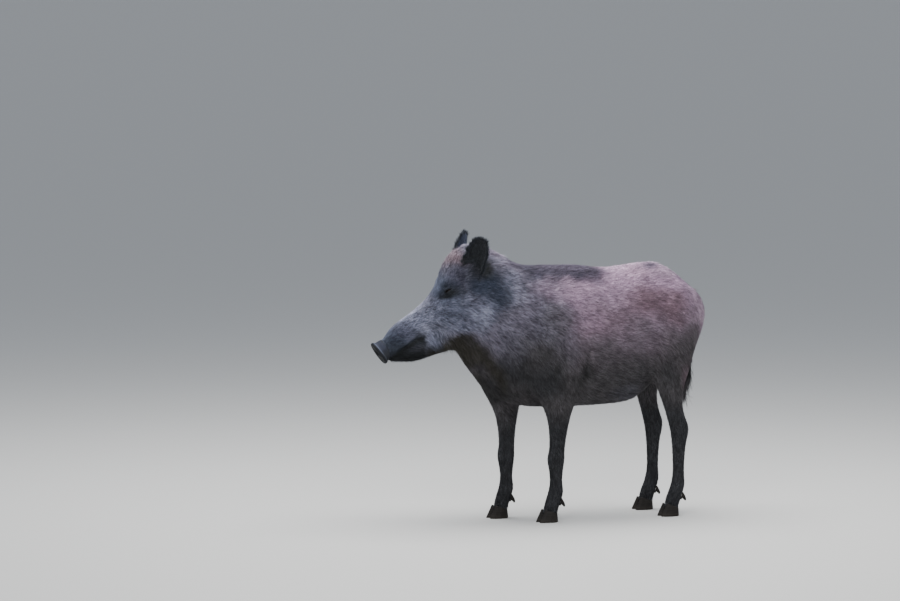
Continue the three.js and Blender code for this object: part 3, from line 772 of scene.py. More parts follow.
# Lays the skin over each eyeball as two lids round a narrow opening.
def shapeLids(points):
    def fold(v, height, at, width):
        return height * bell(v - at, width)

    ball, soft = eyes["radius"], lids["soft"]
    for side in sides:
        centre, *axes = eyeFrame(side)
        u, v, w = inEye(points, side)
        reach = np.hypot(u, v)
        near = (reach < 30 * mm) & (w > -6 * mm)
        puff = fold(v, *lids["puff"]) * (np.abs(u) < lids["puffEnd"])
        crease = sum(fold(v, *each) for each in lids["creases"])
        outer = (ball + lids["thick"] + puff) ** 2
        dome = np.sqrt(np.clip(outer - np.minimum(reach, ball) ** 2, 0, None))
        dome = np.where(reach > ball, dome - (reach - ball) * lids["slope"], dome)
        top = soft * np.logaddexp(dome / soft, w / soft)
        top = top + (crease + puff * 0.5) * (1 - blend01(reach, *lids["creaseEnd"]))
        margin = blend01(opening(u, v), -lids["edge"], lids["edge"])
        sunk = np.sqrt(np.clip(ball**2 - np.minimum(reach, ball) ** 2, 0, None)) - lids["sunk"]
        target = top * (1 - margin) + sunk * margin
        w = np.where(near, w + (target - w) * (1 - blend01(reach, *lids["end"])), w)
        points = centre + np.stack([u, v, w], 1) @ np.array(axes)
    return points


# The groove between the lips and the rim of the upper lip, in millimetres.
mouth = {"deep": 2.2, "half": 2.4, "lip": 0.9, "lipAt": 4.5, "lipHalf": 3.2}


# How far the mouth raises or sinks the skin.
def mouthRise(places, normals):
    x, y, z = places.T / mm
    best = np.full(len(x), 1e9)
    above = np.zeros(len(x))
    for (x0, z0), (x1, z1) in zip(mouthLine[:-1], mouthLine[1:]):
        dx, dz = x1 - x0, z1 - z0
        t = np.clip(((x - x0) * dx + (z - z0) * dz) / (dx * dx + dz * dz), 0, 1)
        away = np.hypot(x - x0 - t * dx, z - z0 - t * dz)
        over = (z - z0) * dx - (x - x0) * dz
        above = np.where(away < best, np.sign(over), above)
        best = np.minimum(best, away)
    sideways = blend01(np.abs(normals[:, 1]), 0.05, 0.4)
    fade = blend01(-x, 345, 362)
    groove = -mouth["deep"] * bell(best, mouth["half"])
    lip = mouth["lip"] * (above > 0) * bell(best - mouth["lipAt"], mouth["lipHalf"])
    return (groove + lip) * sideways * fade * mm


# How far the forms of the body raise or sink the skin.
def formRise(places):
    at = folded(unstride(places))
    rise = np.zeros(len(at))
    for _, start, end, reach, height in forms:
        away = np.linalg.norm(awayFromLine(at, start, end), axis=1)
        rise += height * mm * bell(away, reach * mm)
    return rise


# The right ear: its root, the way its hollow looks, and how far behind the middle its tip lies.
ears = {"root": (-223, 63, 716), "facing": (-0.62, 0.75, 0.1), "tipBack": 8 * mm}
earPoints = {}  # each ear's points, for its outline


# Each ear's own frame: its axis, the way its hollow looks, and across from its front to its back edge.
def earFrame(side):
    low, high = (np.array(c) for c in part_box("ear_" + side))
    root = np.array([ears["root"]]) * flip(side) * mm
    base = turned(root)[0]
    tipY = low[1] if side == "left" else high[1]
    tip = np.array([(low[0] + high[0]) / 2 + ears["tipBack"], tipY, high[2]])
    axis = (tip - base) / np.linalg.norm(tip - base)
    facing = turnedDirections(root, np.array([ears["facing"]]) * flip(side))[0]
    facing -= axis * (facing @ axis)
    facing /= np.linalg.norm(facing)
    across = np.cross(facing, axis)
    return base, axis, facing, across if across[0] > 0 else -across


# How far each point of an ear lies from the ear's outline, and the way out to it.
def earPlace(points, side):
    base, axis, _, across = earFrame(side)
    whole = np.stack([(earPoints[side] - base) @ across, (earPoints[side] - base) @ axis], 1)
    middle = (whole.min(0) + whole.max(0)) / 2
    steps = 60

    def polar(spots):
        return np.hypot(*(spots - middle).T), np.arctan2(*(spots - middle).T) % (2 * math.pi)

    reach, turn = polar(whole)
    slot = (turn / (2 * math.pi) * steps).astype(int) % steps
    rim = np.array([reach[slot == k].max() if (slot == k).any() else 0 for k in range(steps)])
    rim = (rim + np.roll(rim, 1) + np.roll(rim, -1)) / 3
    spots = np.stack([(points - base) @ across, (points - base) @ axis], 1)
    reach, turn = polar(spots)
    stops = (np.arange(steps) + 0.5) / steps * 2 * math.pi
    edge = np.interp(turn, stops, rim, period=2 * math.pi) - reach
    low = spots[:, 1] < middle[1] * 0.3  # the root of the ear has no rim
    outward = np.sin(turn)[:, None] * across + np.cos(turn)[:, None] * axis
    return np.where(low, 1.0, edge), outward


def nearEyes(points, reach):
    away = [np.linalg.norm(points - eyeFrame(side)[0], axis=1) for side in sides]
    return np.min(away, axis=0) < reach


# Where the skin needs finer faces: round the eyes and along the mouth.
def nearDetail(points, places):
    line = mouthLine * mm
    near = nearEyes(points, 26 * mm)
    for x, z in [*line, *((line[:-1] + line[1:]) / 2)]:
        near |= np.hypot(places[:, 0] - x, places[:, 2] - z) < 10 * mm
    return near


# Halves the faces where wanted(points, places) says so.
def refine(work, wanted, rounds):
    def chosen():
        points = np.array([v.co for v in work.verts])
        return wanted(points, straighten(points))

    take = chosen()
    work.verts.index_update()
    edges = [e for e in work.edges if take[e.verts[0].index] and take[e.verts[1].index]]
    bmesh.ops.subdivide_edges(work, edges=edges, cuts=1, use_grid_fill=True)
    smoothed(work, [v for v, mine in zip(work.verts, chosen()) if mine], rounds)


# Averages a value with the neighbours' along the mesh's edges, so that it has no steps.
def evened(mesh, values, rounds):
    edges = np.zeros(len(mesh.edges) * 2, np.int32)
    mesh.edges.foreach_get("vertices", edges)
    a, b = edges.reshape(-1, 2).T
    count = np.bincount(a, minlength=len(values)) + np.bincount(b, minlength=len(values))
    for _ in range(rounds):
        total = np.bincount(a, values[b], len(values)) + np.bincount(b, values[a], len(values))
        values = 0.5 * values + 0.5 * total / np.maximum(count, 1)
    return values


# The coat's colour, and how strongly pale tips fleck it, at points of the skin.
def paint(points, normals, owners):
    colour, fleck = markingAndPaintedLight(straighten(points))
    for side in sides:
        mine = onNodes(owners, "ear_" + side)
        if mine.any():
            _, _, facing, _ = earFrame(side)
            edge, _ = earPlace(points[mine], side)
            hollow = blend01(normals[mine] @ facing, -0.1, 0.4)
            colour[mine] = earMarking(hollow, 1 - blend01(edge, 3 * mm, 9 * mm))
            fleck[mine] = earTones["fleck"]
    return colour, fleck


def skinMesh():
    work = fuseFlesh()
    smoothed(work, work.verts, skinSizes["smoothing"])
    refine(work, lambda points, places: places[:, 0] < skinSizes["fineFace"], 2)
    refine(work, nearDetail, 1)
    refine(work, lambda points, places: nearEyes(points, 17 * mm), 1)
    bmesh.ops.recalc_face_normals(work, faces=work.faces)
    return meshFrom(work, "skin")


# One skin over the whole body. Gives it with the flesh node that each of its points belongs to.
def buildSkin():
    mesh = skinMesh()
    points = arrayOf(mesh.vertices, "co")
    normals = arrayOf(mesh.vertices, "normal")
    places = straighten(points)
    owner = nearestNode(points)
    isEar = onNodes(owner, "ear_left", "ear_right")
    isTail = onNodes(owner, "tail")
    depth = coatAt(places)[1] + skinSizes["closeGaps"]
    depth = np.where(isTail, skinSizes["tailDepth"], depth)
    depth = np.where(isEar, skinSizes["earSwell"] + skinSizes["earDepth"], depth)
    depth = evened(mesh, depth, 3)
    rise = np.where(isEar | isTail, 0, formRise(places)) + mouthRise(places, normals)
    points = shapeLids(points + normals * (rise - depth)[:, None])
    putPoints(mesh, points)
    for side in sides:
        earPoints[side] = points[onNodes(owner, "ear_" + side)]
    putColour(mesh, paint(points, arrayOf(mesh.vertices, "normal"), owner)[0])
    skin = addPiece("skin", mesh, skinFinish())
    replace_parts(skin, *fleshNodes)
    return skin, owner


skin, skinOwner = buildSkin()
skinTriangles = sum(len(p.vertices) - 2 for p in skin.data.polygons)
print("skin:", len(skin.data.vertices), "vertices,", skinTriangles, "triangles")


# Coat.


def coatFinish():
    finish = Finish("bristle_coat", Roughness=0.65, Specular_IOR_Level=0.15)
    colour = finish.attribute("markingAndPaintedLight", "Color")
    # Darker towards each tuft's root and brighter at its tip: painted shade deep in the coat and painted
    # light on the tips.
    shade = finish.mix(finish.attribute("along"), (0.55, 0.54, 0.54), (1.2, 1.2, 1.2))
    return finish.out(Base_Color=finish.mix(1.0, colour, shade, "MULTIPLY"))


coatMaterial = coatFinish()
earLie = {"depth": 1.2 * mm, "length": 9 * mm, "width": 1.1 * mm}
tailLie = {"depth": 3.5 * mm, "length": 26 * mm, "width": 1.6 * mm}
coatPlan = {
    "cover": 2.4,  # how many times over the tufts cover the skin
    "most": 48000,  # tufts in one piece
    "draft": 0.25,  # share of them in trials
    "turn": 0.22,  # how far tufts stray from the lie of the coat, in radians
    "lengths": (0.7, 1.3),  # shares of the usual length, width and height
    "widths": (0.75, 1.25),
    "heights": (0.5, 1.2),
    "sunk": 0.3 * mm,  # how far the roots sit in the skin
    "ridge": 0.35,  # height of a tuft's back at its root, as a share of its width
    "patch": 0.0015,  # half the width of a tuft's patch on the map
}
coatPieces = {
    "coat_muzzle": (["head", "lower_jaw"], lambda q: q[:, 0] < -325 * mm),
    "coat_face": (["head", "lower_jaw"], lambda q: q[:, 0] >= -325 * mm),
    "coat_ears": (["ear_left", "ear_right"], None),
    "coat_neck": (["neck"], None),
    "coat_shoulders": (["shoulder_left", "shoulder_right"], None),
    "coat_back": (["trunk"], lambda q: q[:, 2] > 640 * mm),
    "coat_flank_left": (["trunk"], lambda q: (q[:, 2] <= 640 * mm) & (q[:, 1] < 0)),
    "coat_flank_right": (["trunk"], lambda q: (q[:, 2] <= 640 * mm) & (q[:, 1] >= 0)),
    "coat_hams": (["ham_left", "ham_right"], None),
    "coat_forelegs": (["foreleg_left", "foreleg_right"], None),
    "coat_hindlegs": (["hindleg_left", "hindleg_right"], None),
    "coat_tail": (["tail"], None),
}

skin.data.calc_loop_triangles()
skinCorners = np.zeros(len(skin.data.loop_triangles) * 3, np.int32)
skin.data.loop_triangles.foreach_get("vertices", skinCorners)
skinCorners = skinCorners.reshape(-1, 3)
skinPoints = arrayOf(skin.data.vertices, "co")
skinNormals = arrayOf(skin.data.vertices, "normal")
skinTree = BVHTree.FromPolygons(skinPoints.tolist(), skinCorners.tolist())
skinMiddles = skinPoints[skinCorners].mean(1)
skinPlaces = straighten(skinMiddles)
triangleOwner = skinOwner[skinCorners[:, 0]]
edgeA, edgeB = (skinPoints[skinCorners[:, k]] - skinPoints[skinCorners[:, 0]] for k in (1, 2))
triangleArea = 0.5 * np.linalg.norm(np.cross(edgeA, edgeB), axis=1)


# The lie, depth, tuft length and tuft width at points of the skin.
def coatNear(points, owners):
    places = straighten(points)
    lie, depth, length, width = coatAt(places)
    lie = turnedDirections(places, lie)
    for side in sides:
        mine = onNodes(owners, "ear_" + side)
        if not mine.any():
            continue
        axis = earFrame(side)[1]
        edge, outward = earPlace(points[mine], side)
        rim = 1 - blend01(edge, 2 * mm, 9 * mm)
        lie[mine] = axis + outward * (rim * 0.9)[:, None]
        depth[mine] = earLie["depth"] * (1 + rim)
        length[mine] = earLie["length"] * (1 + 0.9 * rim)
        width[mine] = earLie["width"]
    tail = onNodes(owners, "tail")
    low = blend01(places[:, 2], 440 * mm, 400 * mm)
    root = blend01(places[:, 2], 540 * mm, 600 * mm)[tail, None]
    lie[tail] = lie[tail] * root + np.array([-0.05, 0, -1.0]) * (1 - root)
    depth[tail] = tailLie["depth"]
    length[tail] = (tailLie["length"] * (1 + low * 0.6))[tail]
    width[tail] = tailLie["width"]
    away = []
    for side in sides:
        u, v, w = inEye(points, side)
        away.append(np.where(np.abs(w) > 30 * mm, 1.0, np.hypot(u, v)))  # only that side of the head
    close = 1 - blend01(np.min(away, axis=0), 11 * mm, 22 * mm)
    length *= 1 - 0.5 * close
    depth *= 1 - 0.4 * close
    width *= 1 - 0.25 * close
    return unitRows(lie), depth, length, width


# The way the hair points, laid flat along the skin.
def flattened(lie, normals):
    return lie - normals * (lie * normals).sum(1, keepdims=True)


# Where no hair grows: between the lids.
def bare(points):
    out = np.zeros(len(points), bool)
    for side in sides:
        u, v, w = inEye(points, side)
        out |= (w > 0) & (opening(u, v) > -1.2 * mm) & (np.hypot(u, v) < 16 * mm)
    return out


# Places and normals in triangles of the skin, from the shares of their corners.
def inTriangles(pick, share):
    roots = (skinPoints[skinCorners[pick]] * share[:, :, None]).sum(1)
    return roots, unitRows((skinNormals[skinCorners[pick]] * share[:, :, None]).sum(1))


# Roots spread evenly over some triangles of the skin, closer where the tufts are smaller.
def scatter(nodes, where):
    chosen = onNodes(triangleOwner, *nodes)
    if where:
        chosen &= where(skinPlaces)
    chosen = np.flatnonzero(chosen)
    _, _, length, width = coatNear(skinMiddles[chosen], triangleOwner[chosen])
    weight = triangleArea[chosen] * coatPlan["cover"] / (0.5 * length * width)
    wanted = int(weight.sum())
    count = int(min(wanted, coatPlan["most"]) * (1))
    edges = np.cumsum(weight) / weight.sum()
    spread = (np.arange(count) + random.random(count)) / count
    pick = chosen[np.minimum(np.searchsorted(edges, spread), len(chosen) - 1)]
    a, b = random.random(count), random.random(count)
    outside = a + b > 1
    a[outside], b[outside] = 1 - a[outside], 1 - b[outside]
    roots, normals = inTriangles(pick, np.stack([1 - a - b, a, b], 1))
    keep = ~bare(roots)
    return roots[keep], normals[keep], triangleOwner[pick][keep], wanted


# A place on a flat map for each root: round each part of the body, and along it.
def unwrap(points, owners):
    places = straighten(points)
    u, v = np.zeros(len(points)), np.zeros(len(points))
    whole = straighten(skinPoints)
    parts = np.unique(owners)
    slots = 8
    for column, owner in enumerate(parts):
        mine = owners == owner
        name = fleshNodes[owner]
        shape = whole[skinOwner == owner]
        upright = name.endswith(sides) or name == "tail"
        along, across = (2, (0, 1)) if upright else (0, (2, 1))
        low, high = shape[:, along].min(), shape[:, along].max()
        rows = np.linspace(low, high, slots + 1)
        slot = np.clip(np.digitize(shape[:, along], rows) - 1, 0, slots - 1)
        away = []
        for k in across:
            heart = shape[:, k].mean()
            middle = [shape[slot == i, k].mean() if (slot == i).any() else heart for i in range(slots)]
            away.append(places[mine, k] - np.interp(places[mine, along], (rows[:-1] + rows[1:]) / 2, middle))
        turn = np.arctan2(away[1], away[0]) / (2 * math.pi) + 0.5
        u[mine] = (column + 0.02 + 0.96 * turn) / len(parts)
        v[mine] = (places[mine, along] - low) / (high - low)
    return 0.01 + 0.98 * np.stack([u, np.clip(v, 0, 1)], 1)


# A short tuft has two corners at its root, one on its back and its tip, and a bent one has two rings
# of three and its tip. The lists of numbers say how far along the hair each corner lies.
shortFaces = np.array([[0, 2, 3], [2, 1, 3], [1, 0, 3], [0, 1, 2]])
shortAlong = [0, 0, 0.15, 1.0]
bentFaces = np.array([
    [0, 2, 1], [0, 1, 4], [0, 4, 3], [1, 2, 5], [1, 5, 4], [2, 0, 3], [2, 3, 5],
    [3, 4, 6], [4, 5, 6], [5, 3, 6],
])
hairAlong = [0, 0, 0, 0.6, 0.6, 0.6, 1.0]
lashAlong = [0, 0, 0, 0, 0, 0, 1.0]


# The corners of bent tufts, from their roots, middles and tips.
def bentCorners(roots, middles, tips, sideways, upward, shrink):
    rings = []
    for at, size in ((roots, 1.0), (middles, shrink)):
        rings += [at - sideways * size, at + sideways * size, at + upward * size]
    return np.stack([*rings, tips], 1)


# Turns each tuft's corners into one mesh of closed tufts.
def tuftMesh(name, corners, faces, roots, owners, colours, along):
    count, each = corners.shape[:2]
    mesh = bpy.data.meshes.new(name)
    corner = (np.arange(count)[:, None, None] * each + faces).reshape(-1)
    mesh.vertices.add(count * each)
    mesh.vertices.foreach_set("co", corners.ravel().astype(np.float32))
    mesh.loops.add(len(corner))
    mesh.loops.foreach_set("vertex_index", corner.astype(np.int32))
    mesh.polygons.add(len(corner) // 3)
    mesh.polygons.foreach_set("loop_start", np.arange(0, len(corner), 3, dtype=np.int32))
    mesh.polygons.foreach_set("use_smooth", np.ones(len(corner) // 3, bool))
    mesh.update(calc_edges=True)
    putColour(mesh, np.repeat(colours, each, axis=0))
    putValue(mesh, "along", np.tile(along, count))
    angle = np.arange(each) / each * 2 * math.pi
    patch = np.stack([np.cos(angle), np.sin(angle)], 1) * coatPlan["patch"]
    spots = (unwrap(roots, owners)[:, None, :] + patch).reshape(-1, 2)
    layer = mesh.uv_layers.new(name="OFBake")
    layer.data.foreach_set("uv", spots[corner].ravel().astype(np.float32))
    print(name + ":", count, "tufts,", len(mesh.polygons), "triangles")
    return addPiece(name, mesh, coatMaterial)


tuftTones = {
    "fine": (2.2 * mm, 3 * mm, 3),  # width, reach and seed of the narrow streaks of like tone
    "broad": (9 * mm, 18 * mm, 5),
    "weights": (0.7, 0.14, 0.75),  # of the narrow streaks, the broad ones and each tuft's own tone
    "steep": 1.6,  # how readily a tuft is either light or dark
    "contrast": (0.8, 0.8),  # on a plain coat, and what a flecked one adds
    "pale": (0.72, 0.98),  # tones from which a tuft turns pale, and where it is palest
    "tip": (0.95, 0.97, 1.10),  # the pale tufts' tone
    "tipLight": (0.10, 1.5),  # their own light, and their share of the coat's
}


# The tone of each tuft: streaks of like tone along the hair, and paler tips where the coat is flecked.
def tuftColours(roots, lie, normals, owners):
    colour, fleck = paint(roots, normals, owners)
    drawn, broad = (streaks(straighten(roots), lie, *tuftTones[key]) for key in ("fine", "broad"))
    fineShare, broadShare, ownShare = tuftTones["weights"]
    tone = fineShare * drawn + broadShare * broad + ownShare * random.normal(0, 1, len(roots))
    tone = 1 / (1 + np.exp(-tuftTones["steep"] * tone))
    plain, flecked = tuftTones["contrast"]
    shade = 1 + (tone - 0.5) * (plain + flecked * fleck)
    pale = blend01(tone, *tuftTones["pale"]) * fleck * 0.5
    own, shared = tuftTones["tipLight"]
    tip = np.array(tuftTones["tip"]) * (own + shared * colour.mean(1, keepdims=True))
    return colour * shade[:, None] * (1 - pale)[:, None] + tip * pale[:, None]


def growCoat(name, nodes, where):
    roots, normals, owners, wanted = scatter(nodes, where)
    lie, depth, length, width = coatNear(roots, owners)
    count = len(roots)
    flat = unitRows(flattened(lie, normals))
    wobble = random.normal(0, coatPlan["turn"], count)[:, None]
    flat = flat * np.cos(wobble) + np.cross(normals, flat) * np.sin(wobble)
    sideways = np.cross(normals, flat)
    width = width * math.sqrt(max(1, wanted / count))  # fewer tufts than wanted are wider ones
    long = length * random.uniform(*coatPlan["lengths"], count)
    wide = width * random.uniform(*coatPlan["widths"], count)
    high = depth * random.uniform(*coatPlan["heights"], count)
    tips = roots + flat * long[:, None]
    for i in np.flatnonzero(~onNodes(owners, "tail")):
        near, normal, _, _ = skinTree.find_nearest(tips[i])
        tips[i] = np.array(near) + np.array(normal) * high[i]
    half = sideways * (wide / 2)[:, None]
    sunk = roots - normals * coatPlan["sunk"]
    ridge = roots + normals * (wide * coatPlan["ridge"])[:, None]
    corners = np.stack([sunk - half, sunk + half, ridge, tips], 1)
    tuftMesh(name, corners, shortFaces, roots, owners, tuftColours(roots, flat, normals, owners), shortAlong)


for name, (nodes, where) in coatPieces.items():
    growCoat(name, nodes, where)


# Long hair.

# Longer, bent hair: where it grows, how many, and its length, width and lift in millimetres.
# It grows near a line between two places, at the rim of the ears, or below a height.
longHair = {
    "crest": {
        "nodes": ["head", "neck", "trunk"], "line": ((-225, 0, 785), (90, 0, 745)), "reach": (24, 22),
        "count": 4600, "size": (22, 0.9, 7),
    },
    "forehead": {
        "nodes": ["head"], "line": ((-300, 0, 725), (-240, 0, 782)), "reach": (26, 50),
        "count": 2200, "size": (13, 0.7, 5),
    },
    "back": {
        "nodes": ["trunk"], "line": ((90, 0, 740), (420, 0, 720)), "reach": (40, 34),
        "count": 3000, "size": (18, 1.0, 5),
    },
    "chin": {
        "nodes": ["lower_jaw"], "line": ((-445, 0, 462), (-330, 0, 470)), "reach": (30, 30),
        "count": 900, "size": (12, 0.6, 3),
    },
    "jowl": {
        "nodes": ["head", "neck"], "line": ((-350, 52, 520), (-230, 60, 500)), "reach": (26, 26),
        "count": 2600, "size": (24, 0.9, 6),
    },
    "ear_rims": {
        "nodes": ["ear_left", "ear_right"], "rim": 6,
        "count": 5200, "size": (13, 0.7, 3),
    },
    "ear_roots": {
        "nodes": ["head", "neck"], "line": ((-240, 62, 716), (-190, 62, 712)), "reach": (16, 26),
        "count": 2200, "size": (17, 0.9, 6),
    },
    "tail": {
        "nodes": ["tail"], "line": ((481, 0, 400), (467, 0, 360)), "reach": (30, 40),
        "count": 900, "size": (44, 1.0, 3),
    },
    "feet": {
        "nodes": ["foreleg_left", "foreleg_right", "hindleg_left", "hindleg_right"], "below": 46,
        "count": 4200, "size": (13, 0.9, 2),
    },
}
longHairPlan = {
    "stray": 0.16,  # how far it strays from the lie of the coat
    "lengths": (0.6, 1.25),  # shares of the usual length and lift
    "lifts": (0.3, 1.3),
    "droop": 0.12,  # how far the tip hangs, as a share of the length
    "sunk": 0.5 * mm,
    "fade": 14,  # millimetres over which hair that grows below a height thins out
}


# How thickly long hair grows on each triangle of the skin.
def growth(plan):
    weight = triangleArea * onNodes(triangleOwner, *plan["nodes"])
    if "line" in plan:
        x, y, z = awayFromLine(folded(skinPlaces), *plan["line"]).T / mm
        along, across = plan["reach"]
        weight = weight * (1 - blend01(np.hypot(y / across, np.hypot(x, z) / along), 0.4, 1.2))
    if "below" in plan:
        top = plan["below"]
        weight = weight * (1 - blend01(skinPlaces[:, 2] / mm, top - longHairPlan["fade"], top))
    if "rim" in plan:
        for side in sides:
            mine = onNodes(triangleOwner, "ear_" + side)
            edge = earPlace(skinMiddles[mine], side)[0] / mm
            weight[mine] *= 1 - blend01(edge, 0.3 * plan["rim"], plan["rim"])
    return weight


def growLongHair(name, plan):
    weight = growth(plan)
    count = plan["count"] // 1
    edges = np.cumsum(weight) / weight.sum()
    pick = np.searchsorted(edges, random.random(count))
    length, width, rise = (k * mm for k in plan["size"])
    roots, normals = inTriangles(pick, random.dirichlet((1, 1, 1), count))
    owners = triangleOwner[pick]
    lie, *_ = coatNear(roots, owners)
    stray = random.normal(0, longHairPlan["stray"], (count, 3))
    flat = unitRows(flattened(lie, normals) + stray)
    long = length * random.uniform(*longHairPlan["lengths"], count)[:, None]
    lift = rise * random.uniform(*longHairPlan["lifts"], count)[:, None]
    middles = roots + flat * long * 0.5 + normals * lift * 0.75
    tips = roots + flat * long * 0.96 + normals * lift - np.array([0, 0, longHairPlan["droop"]]) * long
    sideways = unitRows(np.cross(normals, flat)) * width / 2
    sunk = roots - normals * longHairPlan["sunk"]
    corners = bentCorners(sunk, middles, tips, sideways, normals * width / 2, 0.8)
    colours = tuftColours(roots, flat, normals, owners)
    tuftMesh("long_hair_" + name, corners, bentFaces, roots, owners, colours, hairAlong)


for name, plan in longHair.items():
    growLongHair(name, plan)


# Eyes.


def eyeFinish():
    finish = Finish("wet_eye", Roughness=0.22, Specular_IOR_Level=0.06)
    gaze = finish.attribute("gaze")
    colour = finish.mix(finish.smooth(gaze, 0.80, 0.84), (0.006, 0.005, 0.005), (0.010, 0.006, 0.004))
    return finish.out(Base_Color=finish.mix(finish.smooth(gaze, 0.955, 0.965), colour, (0.003, 0.003, 0.003)))


eyeMaterial = eyeFinish()


def buildEye(side):
    centre, ahead, up, out = eyeFrame(side)
    work = bmesh.new()
    bmesh.ops.create_uvsphere(work, u_segments=32, v_segments=20, radius=eyes["radius"])
    for v in work.verts:  # the cornea stands a little proud of the ball
        v.co.z += 0.7 * mm * max(0, v.co.z / eyes["radius"] - 0.75) / 0.25
    axes = Matrix((ahead, up, out)).transposed()
    bmesh.ops.transform(work, matrix=Matrix.Translation(centre) @ axes.to_4x4(), verts=work.verts)
    bmesh.ops.recalc_face_normals(work, faces=work.faces)
    mesh = meshFrom(work, "eyeball_" + side)
    putValue(mesh, "gaze", unitRows(arrayOf(mesh.vertices, "co") - centre) @ out)
    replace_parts(addPiece("eyeball_" + side, mesh, eyeMaterial), "eye_" + side)


lashes = {"count": 46, "width": 0.22 * mm, "lengths": (5, 7.5), "stray": 0.08}


# A row of lashes along the upper lid.
def buildLashes(side):
    centre, ahead, up, out = eyeFrame(side)
    count, thin = lashes["count"], lashes["width"]
    u = np.linspace(-0.9, 0.85, count) * eyes["half"]
    v = eyes["above"] * bowOf(u) + 0.4 * mm
    w = np.sqrt((eyes["radius"] + lids["thick"]) ** 2 - u**2 - v**2) - 0.3 * mm
    roots = centre + np.stack([u, v, w], 1) @ np.array([ahead, up, out])
    fan = ahead * (u / eyes["half"] * 0.35)[:, None]
    stray = random.normal(0, lashes["stray"], (count, 3))
    way = unitRows(out * 0.9 - up * 0.15 - ahead * 0.25 + fan + stray)
    long = random.uniform(*lashes["lengths"], (count, 1)) * mm
    middles = roots + way * long * 0.55
    tips = roots + way * long - up * long * 0.28
    corners = bentCorners(roots, middles, tips, np.tile(ahead, (count, 1)) * thin, up * thin * 1.5, 0.7)
    colours = np.tile(pelts["soot"][0], (count, 1))
    owners = np.full(count, fleshNodes.index("head"))
    tuftMesh("lashes_" + side, corners, bentFaces, roots, owners, colours, lashAlong)


for side in sides:
    buildEye(side)
    buildLashes(side)
print("eyes")


# Snout disc.

snout = {
    "centre": (-471.5, 0, 493.5),  # middle of the disc's back face on the straight boar, in millimetres
    "pitch": math.radians(35),
    "half": (37.2, 35.2),
    "taper": 0.12,
    # The outline from the middle of the front, over the rim and down the collar: share of the half
    # width, and depth.
    "outline": [
        (0.0, 10.6), (0.12, 10.6), (0.3, 10.7), (0.5, 11.0), (0.66, 11.6), (0.78, 12.6), (0.87, 13.2),
        (0.94, 12.8), (0.985, 11.4), (1.0, 9.2), (1.0, 7.0), (0.985, 5.0), (0.95, 3.6), (0.90, 2.2),
        (0.865, 0.2), (0.84, -3), (0.83, -9), (0.80, -16), (0.70, -22), (0.35, -25), (0.0, -26),
    ],
    "steps": (110, 120),  # along the outline and round the disc
    "nostril": {"apart": 15, "up": 2, "half": (5.6, 7.6), "deep": 13, "slant": 0.35},
    # The collar's tone is partly its own bluish skin and partly a painted sky reflection, and the edge's tone
    # is a painted highlight.
    "tones": {"front": (0.014, 0.015, 0.018), "collar": (0.023, 0.026, 0.040), "edge": (0.048, 0.056, 0.074)},
}


def snoutFinish():
    finish = Finish("moist_snout", Specular_IOR_Level=0.06)
    place = finish.place()
    settings = {"feature": "DISTANCE_TO_EDGE"}
    cells = finish.add("ShaderNodeTexVoronoi", settings, Vector=place, Scale=380.0, take="Distance")
    crease = finish.smooth(cells, 0.0, 0.12)
    cloud = finish.noise(place, 60.0)
    # Darker in the creases between the cells, painted shade, over a cloudy tone.
    shade = finish.mix(cloud * (crease * 0.6 + 0.4), (0.5, 0.5, 0.5), (1.5, 1.5, 1.5))
    colour = finish.mix(1.0, finish.attribute("markingAndPaintedLight", "Color"), shade, "MULTIPLY")
    normal = finish.bump(crease, 0.0006, 0.5)
    return finish.out(Base_Color=colour, Roughness=0.48 + 0.2 * cloud, Normal=normal)


# The disc and its collar as a shape turned round +Z, with a radius of 1 and depths in metres.
def turnedSnout():
    outline = np.array(snout["outline"], float)
    sideStep, depthStep = np.diff(outline[:, 0]) * 36, np.diff(outline[:, 1])
    steps = np.concatenate([[0], np.cumsum(np.hypot(sideStep, depthStep))])
    fine = np.linspace(0, steps[-1], snout["steps"][0])
    radius, depth = (np.interp(fine, steps, outline[:, k]) for k in (0, 1))
    for values in (radius, depth):  # rounds the corners of the outline
        for _ in range(3):
            values[1:-1] = 0.5 * values[1:-1] + 0.25 * (values[:-2] + values[2:])
    work = bmesh.new()
    ring = [work.verts.new((r, 0, z * mm)) for r, z in zip(radius, depth)]
    edges = [work.edges.new(pair) for pair in zip(ring[:-1], ring[1:])]
    turn = {"axis": (0, 0, 1), "cent": (0, 0, 0), "angle": 2 * math.pi, "steps": snout["steps"][1]}
    bmesh.ops.spin(work, geom=ring + edges, use_merge=True, **turn)
    bmesh.ops.remove_doubles(work, verts=work.verts, dist=1e-5)
    return meshFrom(work, "snout")


# How deep the nostrils lie under the front of the disc, at places on it in millimetres.
def nostrils(x, y):
    hole = snout["nostril"]
    slant = hole["slant"]
    pit = np.zeros(len(x))
    for sign in (-1, 1):
        dx, dy = x - sign * hole["apart"], y - hole["up"]
        u = dx * math.cos(slant) + sign * dy * math.sin(slant)
        v = -sign * dx * math.sin(slant) + dy * math.cos(slant)
        away = np.hypot(u / hole["half"][0], v / hole["half"][1])
        pit += hole["deep"] * (1 - blend01(away, 0.5, 1.15)) - 1.5 * bell(away - 1.4, 0.3)
    return pit


